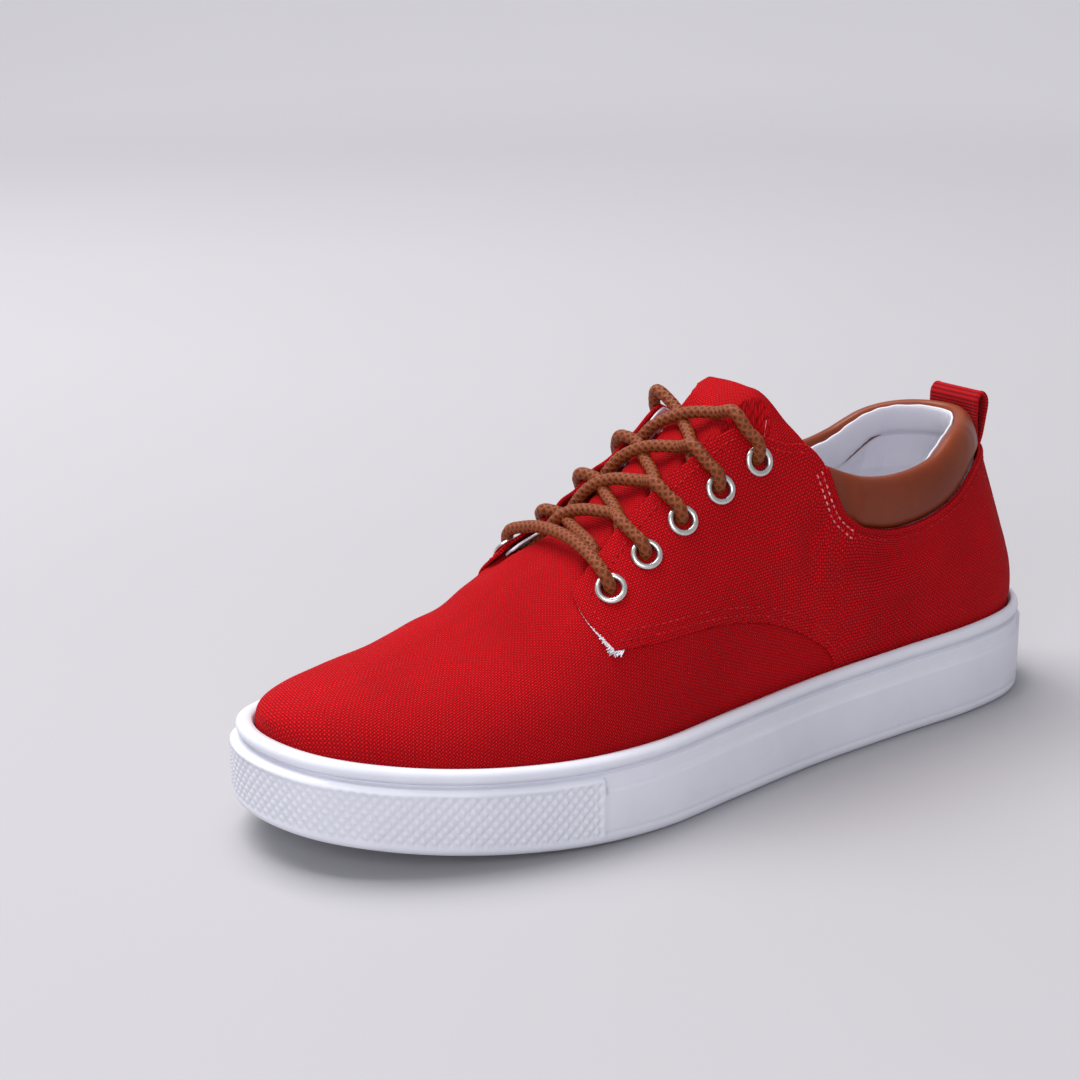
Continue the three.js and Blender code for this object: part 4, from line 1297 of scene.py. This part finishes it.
def collar_ring(s, turn):
    angle, side, place, low, high = collar_section(s)
    middle, reach = (low + high) / 2, (high - low) / 2
    rise = np.sign(np.sin(turn)) * np.abs(np.sin(turn)) ** COLLAR_SQUARE[0]
    out = np.sign(np.cos(turn)) * np.abs(np.cos(turn)) ** COLLAR_SQUARE[1]
    height = middle + reach * rise
    thick, proud = collar_depths(place)
    depth = proud - thick / 2 * (1 - out)
    wrinkle = 0.07 * np.sin(place * 0.9 + 3 * np.sin(height * 0.35)) * smooth((60 - place) / 30)
    across = across_at_height(angle, side, height)
    ring = upper_offset(angle, across, depth + wrinkle * (out > 0))
    ring[..., 2] = height
    return ring


s = np.linspace(-1, 1, 261)[:, None]
turn = (np.arange(44) * 2 * np.pi / 44)[None]
collar = loops_mesh("collar_padded", collar_ring(s, turn), LEATHER, capped=True)
finish_piece(collar, "leather", "collar")

# ------------------------------------------------------------------ lining
LINING_FRONT = 199.0


def lining_face(s, h, extra_depth):
    """The inner wall: s from the medial front over the heel to the lateral front, h upwards."""
    side = np.where(s >= 0, 1, -1)
    angle = angle_of(LINING_FRONT) * np.abs(s)
    t = distance_of(angle)
    place = t + lean_at(t, 80.0)
    low_z = cup_floor(t) + INSOLE_THICK - 0.5
    pad_low, pad_high = collar_low(place), collar_crest(place)
    middle, reach = (pad_low + pad_high) / 2, (pad_high - pad_low) / 2
    scallop = 0.12 * np.sin(place * 0.75)
    on_collar = pad_low + (pad_high - pad_low) * 0.86 + scallop
    on_canvas = canvas_top(place, side) + np.where(s < 0, 0.45, -0.9)
    at_collar = smooth((COLLAR_END - place) / 3)
    top = on_canvas + (on_collar - on_canvas) * at_collar
    z = low_z + (top - low_z) * h
    rise = np.clip((z - middle) / reach, -1, 1)
    bend = np.sqrt(np.maximum(0, 1 - np.abs(rise) ** (2 / COLLAR_SQUARE[0])))
    thick, proud = collar_depths(place)
    deeper = 0.6 * smooth((place - 92) / 6) * smooth((118 - place) / 6)
    pad = proud - thick / 2 * (1 + bend ** COLLAR_SQUARE[1]) - 0.12 - deeper
    shade = smooth((z - pad_low + 9) / 9) * at_collar
    across = across_at_height(angle, side, z)
    plain = LINING_LIFT + np.minimum(crease(upper_point(angle, across), side), 0)
    depth = plain + (pad - plain) * shade
    wrinkle = 0.35 * np.sin(place * 0.35 + 1.7 * np.sin(z * 0.09)) * smooth((z - 50) / 20)
    wrinkle = wrinkle * smooth((100 - place) / 20) * (1 - smooth((z - pad_low + 2) / 5) * 0.6)
    seam = -0.35 * np.exp(-(((z - 75 + 0.03 * place) / 0.8) ** 2)) * smooth((70 - place) / 10)
    face = upper_offset(angle, across, depth - np.abs(wrinkle) + seam - extra_depth)
    face[..., 2] = np.where(at_collar > 0.5, z, face[..., 2])
    return face


s = np.linspace(-1, 1, 361)[:, None]
h = np.linspace(0, 1, 70)[None]
front = lining_face(s, h, 0.0)
back = lining_face(s, h, LINING_THICK)
keep = punched(front, back)
piece = shell("lining", front, back, LINING, grid_coordinates(front), keep=keep)
finish_piece(piece, "lining", "upper")

# ------------------------------------------------------------------ insole
share = np.linspace(0, 1, 41)[None]
stations = np.linspace(0, np.pi, 170)[:, None]


def insole_face(lift):
    inset = feather_inset(distance_of(stations)) + UPPER_WALL + GAP + 0.1
    lateral = outline(stations, 1, inset)
    medial = outline(stations, -1, inset)
    x = lateral[0] + (medial[0] - lateral[0]) * share
    t = lateral[1] + (medial[1] - lateral[1]) * share
    dish = (2 * share - 1) ** 4 * 1.2 - 0.8
    return point(x, t, cup_floor(t) + GAP + lift + (dish if lift > 1 else 0))


front, back = insole_face(INSOLE_THICK), insole_face(0.0)
piece = shell(
    "insole_cloth_faced", front, back, INSOLE, grid_coordinates(front), zipped=("first", "last"),
    bulge=0.1,
)
finish_piece(piece, "lining", "insole")

# ------------------------------------------------------------------ pull loop
path = spline(np.stack([0 * LOOP_PATH["t"], LENGTH / 2 - LOOP_PATH["t"], LOOP_PATH["z"]], -1), 12)
path = resample(path, 0.6)
tangent = unit(np.gradient(path, axis=0))
facing_out = np.cross(np.array([1.0, 0, 0]), tangent)
w = np.linspace(-1, 1, 31)
swell = LOOP_THICK / 2 * (1 + 0.22 * np.exp(-(((np.abs(w) - 0.94) / 0.05) ** 2)))
centre = path[:, None] + np.array([LOOP_WIDTH / 2, 0, 0]) * w[None, :, None]
follow = 2.3 * w[None] ** 2 * smooth((104 - path[:, 2:]) / 12)
centre[..., 1] -= follow
front = centre + facing_out[:, None] * swell[None, :, None]
back = centre - facing_out[:, None] * swell[None, :, None]
piece = shell("pull_loop_webbing", front, back, WEBBING, grid_coordinates(front))
finish_piece(piece, "webbing", "pull_loop")

# ------------------------------------------------------------------ eyelets
profile = [(2.9, -2.3), (2.9, -0.5), (2.92, 1.15)]
for turn_at in np.radians(np.linspace(165, 0, 13)):
    profile.append((3.92 + 1.0 * math.cos(turn_at), 1.2 + 0.9 * math.sin(turn_at)))
profile += [(4.9, 1.0), (3.4, 0.98), (3.3, 0.7), (3.3, -2.0), (3.6, -2.3), (3.3, -2.5)]
profile = np.array(profile)
for side, row, centre, axis in eyelet_frames():
    across_axis = unit(np.cross(axis, np.array([0.0, 1.0, 0.0])))
    other_axis = np.cross(axis, across_axis)
    turn = np.linspace(0, 2 * np.pi, 49)[:, None, None]
    ring = across_axis * np.cos(turn) + other_axis * np.sin(turn)
    loops = centre + ring * profile[None, :, :1] + axis * profile[None, :, 1:]
    name = f"eyelet_{'lateral' if side > 0 else 'medial'}_{row}"
    piece = loops_mesh(name + "_rolled", loops, STEEL)
    finish_piece(piece, "steel", name)

# ------------------------------------------------------------------ lace
loops, extra = tube(LACE, LACE_RADIUS, 20, braid)
lace = loops_mesh("lace_braided", loops, CORD, extra, capped=True)
finish_piece(lace, "lace", "lace_bar", "lace_cross_1", "lace_cross_2", "lace_cross_3", "lace_cross_4")


# ------------------------------------------------------------------ stitches, piping, edges
STITCH_PITCH = 2.4
STITCH_LONG = 1.8
STITCH_RADIUS = 0.27


def surface_path(places, heights, side):
    angle, across = on_surface(places, heights, side)
    rise = quarter_rise(angle, across, side)
    return upper_offset(angle, across, rise), upper_normal(angle, across)


def shifted(t, z, distance):
    """A path in the side view moved to its left by a distance."""
    dt, dz = np.gradient(t), np.gradient(z)
    size = np.hypot(dt, dz)
    return t - dz / size * distance, z + dt / size * distance


def stitches(points, normals, radius):
    """Loops of small capsules along a path, each sinking into the cloth at its ends."""
    lengths = run_of(points)
    made = []
    turn = (np.arange(7) * 2 * np.pi / 7)[None, :, None]
    for start in np.arange(STITCH_PITCH * 0.3, lengths[-1] - STITCH_LONG, STITCH_PITCH):
        start = start + rng.uniform(-0.12, 0.12)
        share = np.linspace(0, 1, 6)
        at = start + share * STITCH_LONG
        spine = values_at(at, lengths, points)
        normal = unit(values_at(at, lengths, normals))
        spine = spine + normal * (np.sin(share * np.pi) * 0.45 - 0.3)[:, None]
        along = unit(np.gradient(spine, axis=0))
        side = np.cross(along, normal)
        size = radius * np.array([0.35, 0.85, 1, 1, 0.85, 0.35])
        ring = side[:, None] * np.cos(turn) + normal[:, None] * np.sin(turn)
        made.append(spine[:, None] + ring * size[:, None, None])
    return made


def joined_loops(name, groups, material, slot, *nodes):
    """Many small capped tubes in one mesh."""
    points, rings = [], []
    base = 0
    for loops in groups:
        rows, columns = loops.shape[:2]
        points.append(loops.reshape(-1, 3))
        index = base + np.arange(rows * columns).reshape(rows, columns)
        rings += skin_cells(index).tolist()
        rings.append(index[0].tolist())
        rings.append(index[-1, ::-1].tolist())
        base += rows * columns
    piece = add_mesh(name, np.concatenate(points), rings, material)
    return finish_piece(piece, slot, *nodes)


def sewn_row(t, z, side, distance, keep=slice(None), radius=STITCH_RADIUS):
    """A row of stitches beside a path in the side view."""
    row_t, row_z = shifted(t, z, distance)
    return stitches(*surface_path(row_t[keep], row_z[keep], side), radius)


rng = np.random.default_rng(7)
groups, collar_groups = [], []
for side in (1, -1):
    t, z = edge_between(LOWER_FRONT, 160)
    for distance in (2.0, 4.6):
        groups += sewn_row(t, z, side, distance, slice(8, 160 - int(distance * 1.6)))
    t = np.linspace(197.5, 145.5, 90)
    groups += sewn_row(t, facing_height(t, side), side, 2.4)
    t, z = edge_between(FRONT_EDGE, 50)
    groups += sewn_row(t, z, side, 2.6, slice(6, -4))
    t = np.linspace(142, 116, 60)
    groups += sewn_row(t, quarter_top(t), side, 2.4)
    for distance in (2.2, 4.4):
        t = np.concatenate([np.linspace(112.8, 108, 30), np.linspace(107.8, 99, 40)])
        collar_groups += sewn_row(t, collar_seam(t), side, distance, radius=0.3)
    t = np.linspace(99, 20, 150)
    groups += sewn_row(t, collar_seam(t), side, 2.6)
joined_loops("seam_stitches", groups, RED_THREAD, "canvas", "upper")
joined_loops("collar_front_stitches", collar_groups, PALE_THREAD, "canvas", "upper")


def collar_line():
    """Points along the collar's seam, round the heel from the medial to the lateral end."""
    t = distance_of(np.linspace(0, angle_of(112.5), 170))
    sides = []
    for side in (-1, 1):
        angle, across = on_surface(t, collar_seam(t) - 0.2, side)
        sides.append(upper_offset(angle, across, QUARTER_LIFT - 0.35))
    return np.concatenate([sides[0][::-1], sides[1][1:]])


PIPING_RADIUS = 1.15
path = resample(collar_line(), 0.8)
loops, extra = tube(path, PIPING_RADIUS, 12)
piece = loops_mesh("collar_piping", loops, RED, extra, capped=True)
finish_piece(piece, "canvas", "upper")

# White lining that shows at the lateral facing's lower corner, with its frayed end.
FRAY_COUNT = 90
edge_t, edge_z = edge_between(FRONT_EDGE, 60)
low_edge = edge_z < 66.5
angle, across = on_surface(edge_t[low_edge] + 0.35, edge_z[low_edge], 1)
strip = upper_offset(angle, across, 0.25)
loops, _ = tube(
    resample(strip, 0.5), 0.55, 8, lambda along, turn: 0.08 * np.sin(along * 5 + turn) - 0.03 * along
)
fray = [loops]
share = rng.uniform(-0.55, 1, FRAY_COUNT)
share = np.where(share > 0, share**1.8, share)
front_side = np.maximum(share, 0)
corner_t = 200.2 + 3.2 * front_side + 6.0 * np.minimum(share, 0)
angle, across = on_surface(corner_t, 55.4 + 6.5 * front_side, 1)
roots, normals = upper_offset(angle, across, 0.1), upper_normal(angle, across)
for root, normal, place in zip(roots, normals, share):
    length = rng.uniform(0.8, 1.9) * (1.2 - 0.7 * place)
    heading = unit(np.array([rng.normal(0.1, 0.35), rng.normal(-0.9, 0.3), rng.normal(-0.45, 0.35)]))
    tip = root + heading * length + normal * rng.uniform(0.1, 0.5)
    bend = (root + tip) / 2 + normal * rng.uniform(0.2, 0.5)
    strand_path = resample(spline([root, bend, tip], 5), 0.35)
    loops, _ = tube(strand_path, 0.17, 5)
    fray.append(loops)
joined_loops("frayed_lining", fray, WHITE_THREAD, "lining", "upper")

# ------------------------------------------------------------------ camera, light and floor
CAMERA_AZIMUTH = math.radians(56.13)
CAMERA_PITCH = math.radians(16.48)
CAMERA_ROLL = math.radians(-0.47)
CAMERA_DISTANCE = 0.88303
CAMERA_AIM = Vector((-0.22011, 0.09741, 0.00183))
CAMERA_LENS = 65.97

flat = math.cos(CAMERA_PITCH)
forward = Vector(
    (-math.sin(CAMERA_AZIMUTH) * flat, math.cos(CAMERA_AZIMUTH) * flat, -math.sin(CAMERA_PITCH))
)
level = Vector((math.cos(CAMERA_AZIMUTH), math.sin(CAMERA_AZIMUTH), 0))
upright = level.cross(forward)
right = level * math.cos(CAMERA_ROLL) + upright * math.sin(CAMERA_ROLL)
upright = upright * math.cos(CAMERA_ROLL) - level * math.sin(CAMERA_ROLL)
camera_data = bpy.data.cameras.new("camera")
camera_data.lens = CAMERA_LENS
camera_data.sensor_width = 36
camera = bpy.data.objects.new("camera", camera_data)
bpy.context.scene.collection.objects.link(camera)
turned = Matrix((right, upright, -forward)).transposed().to_4x4()
camera.matrix_world = Matrix.Translation(CAMERA_AIM - forward * CAMERA_DISTANCE) @ turned
bpy.context.scene.camera = camera

# A paper sweep: level under the shoe, curving up into a wall far behind it.
SWEEP_START = 2.2
SWEEP_RADIUS = 1.2
SWEEP_WALL = 3.0
SWEEP_HALF = 6.0
run = [(-4.0, 0.0), (0.0, 0.0), (SWEEP_START, 0.0)]
for turn_at in np.radians(np.linspace(6, 90, 15)):
    run.append(
        (SWEEP_START + SWEEP_RADIUS * math.sin(turn_at), SWEEP_RADIUS * (1 - math.cos(turn_at)))
    )
run.append((SWEEP_START + SWEEP_RADIUS, SWEEP_WALL))
away = Vector((forward.x, forward.y, 0)).normalized()
corners = []
for out, up in run:
    for aside in (-SWEEP_HALF, SWEEP_HALF):
        spot = away * out + level * aside
        corners.append((spot.x, spot.y, up))
rings = [(2 * i, 2 * i + 1, 2 * i + 3, 2 * i + 2) for i in range(len(run) - 1)]
floor_mesh = bpy.data.meshes.new("floor")
floor_mesh.from_pydata(corners, [], rings)
floor_mesh.polygons.foreach_set("use_smooth", [True] * len(floor_mesh.polygons))
floor = bpy.data.objects.new("floor", floor_mesh)
floor_mesh.materials.append(paper_floor())
bpy.context.scene.collection.objects.link(floor)


def area_light(name, at, aim, size, power, colour):
    data = bpy.data.lights.new(name, "AREA")
    data.shape = "RECTANGLE"
    data.size, data.size_y = size
    data.energy = power
    data.color = colour
    lamp = bpy.data.objects.new(name, data)
    bpy.context.scene.collection.objects.link(lamp)
    lamp.location = at
    lamp.rotation_euler = (Vector(aim) - Vector(at)).to_track_quat("-Z", "Y").to_euler()
    return lamp


area_light("overhead", (-0.75, -0.35, 1.9), (-0.05, 0, 0.05), (1.5, 1.5), 54.0, (1, 0.99, 0.985))
area_light("front_fill", (1.25, -1.2, 0.85), (0, 0, 0.05), (1.1, 1.1), 14.5, (0.97, 0.975, 1))

world = bpy.data.worlds.new("studio")
world.use_nodes = True
world.node_tree.nodes["Background"].inputs[0].default_value = linear(230, 230, 238)
world.node_tree.nodes["Background"].inputs[1].default_value = 0.5
bpy.context.scene.world = world
bpy.context.scene.view_settings.view_transform = "Standard"
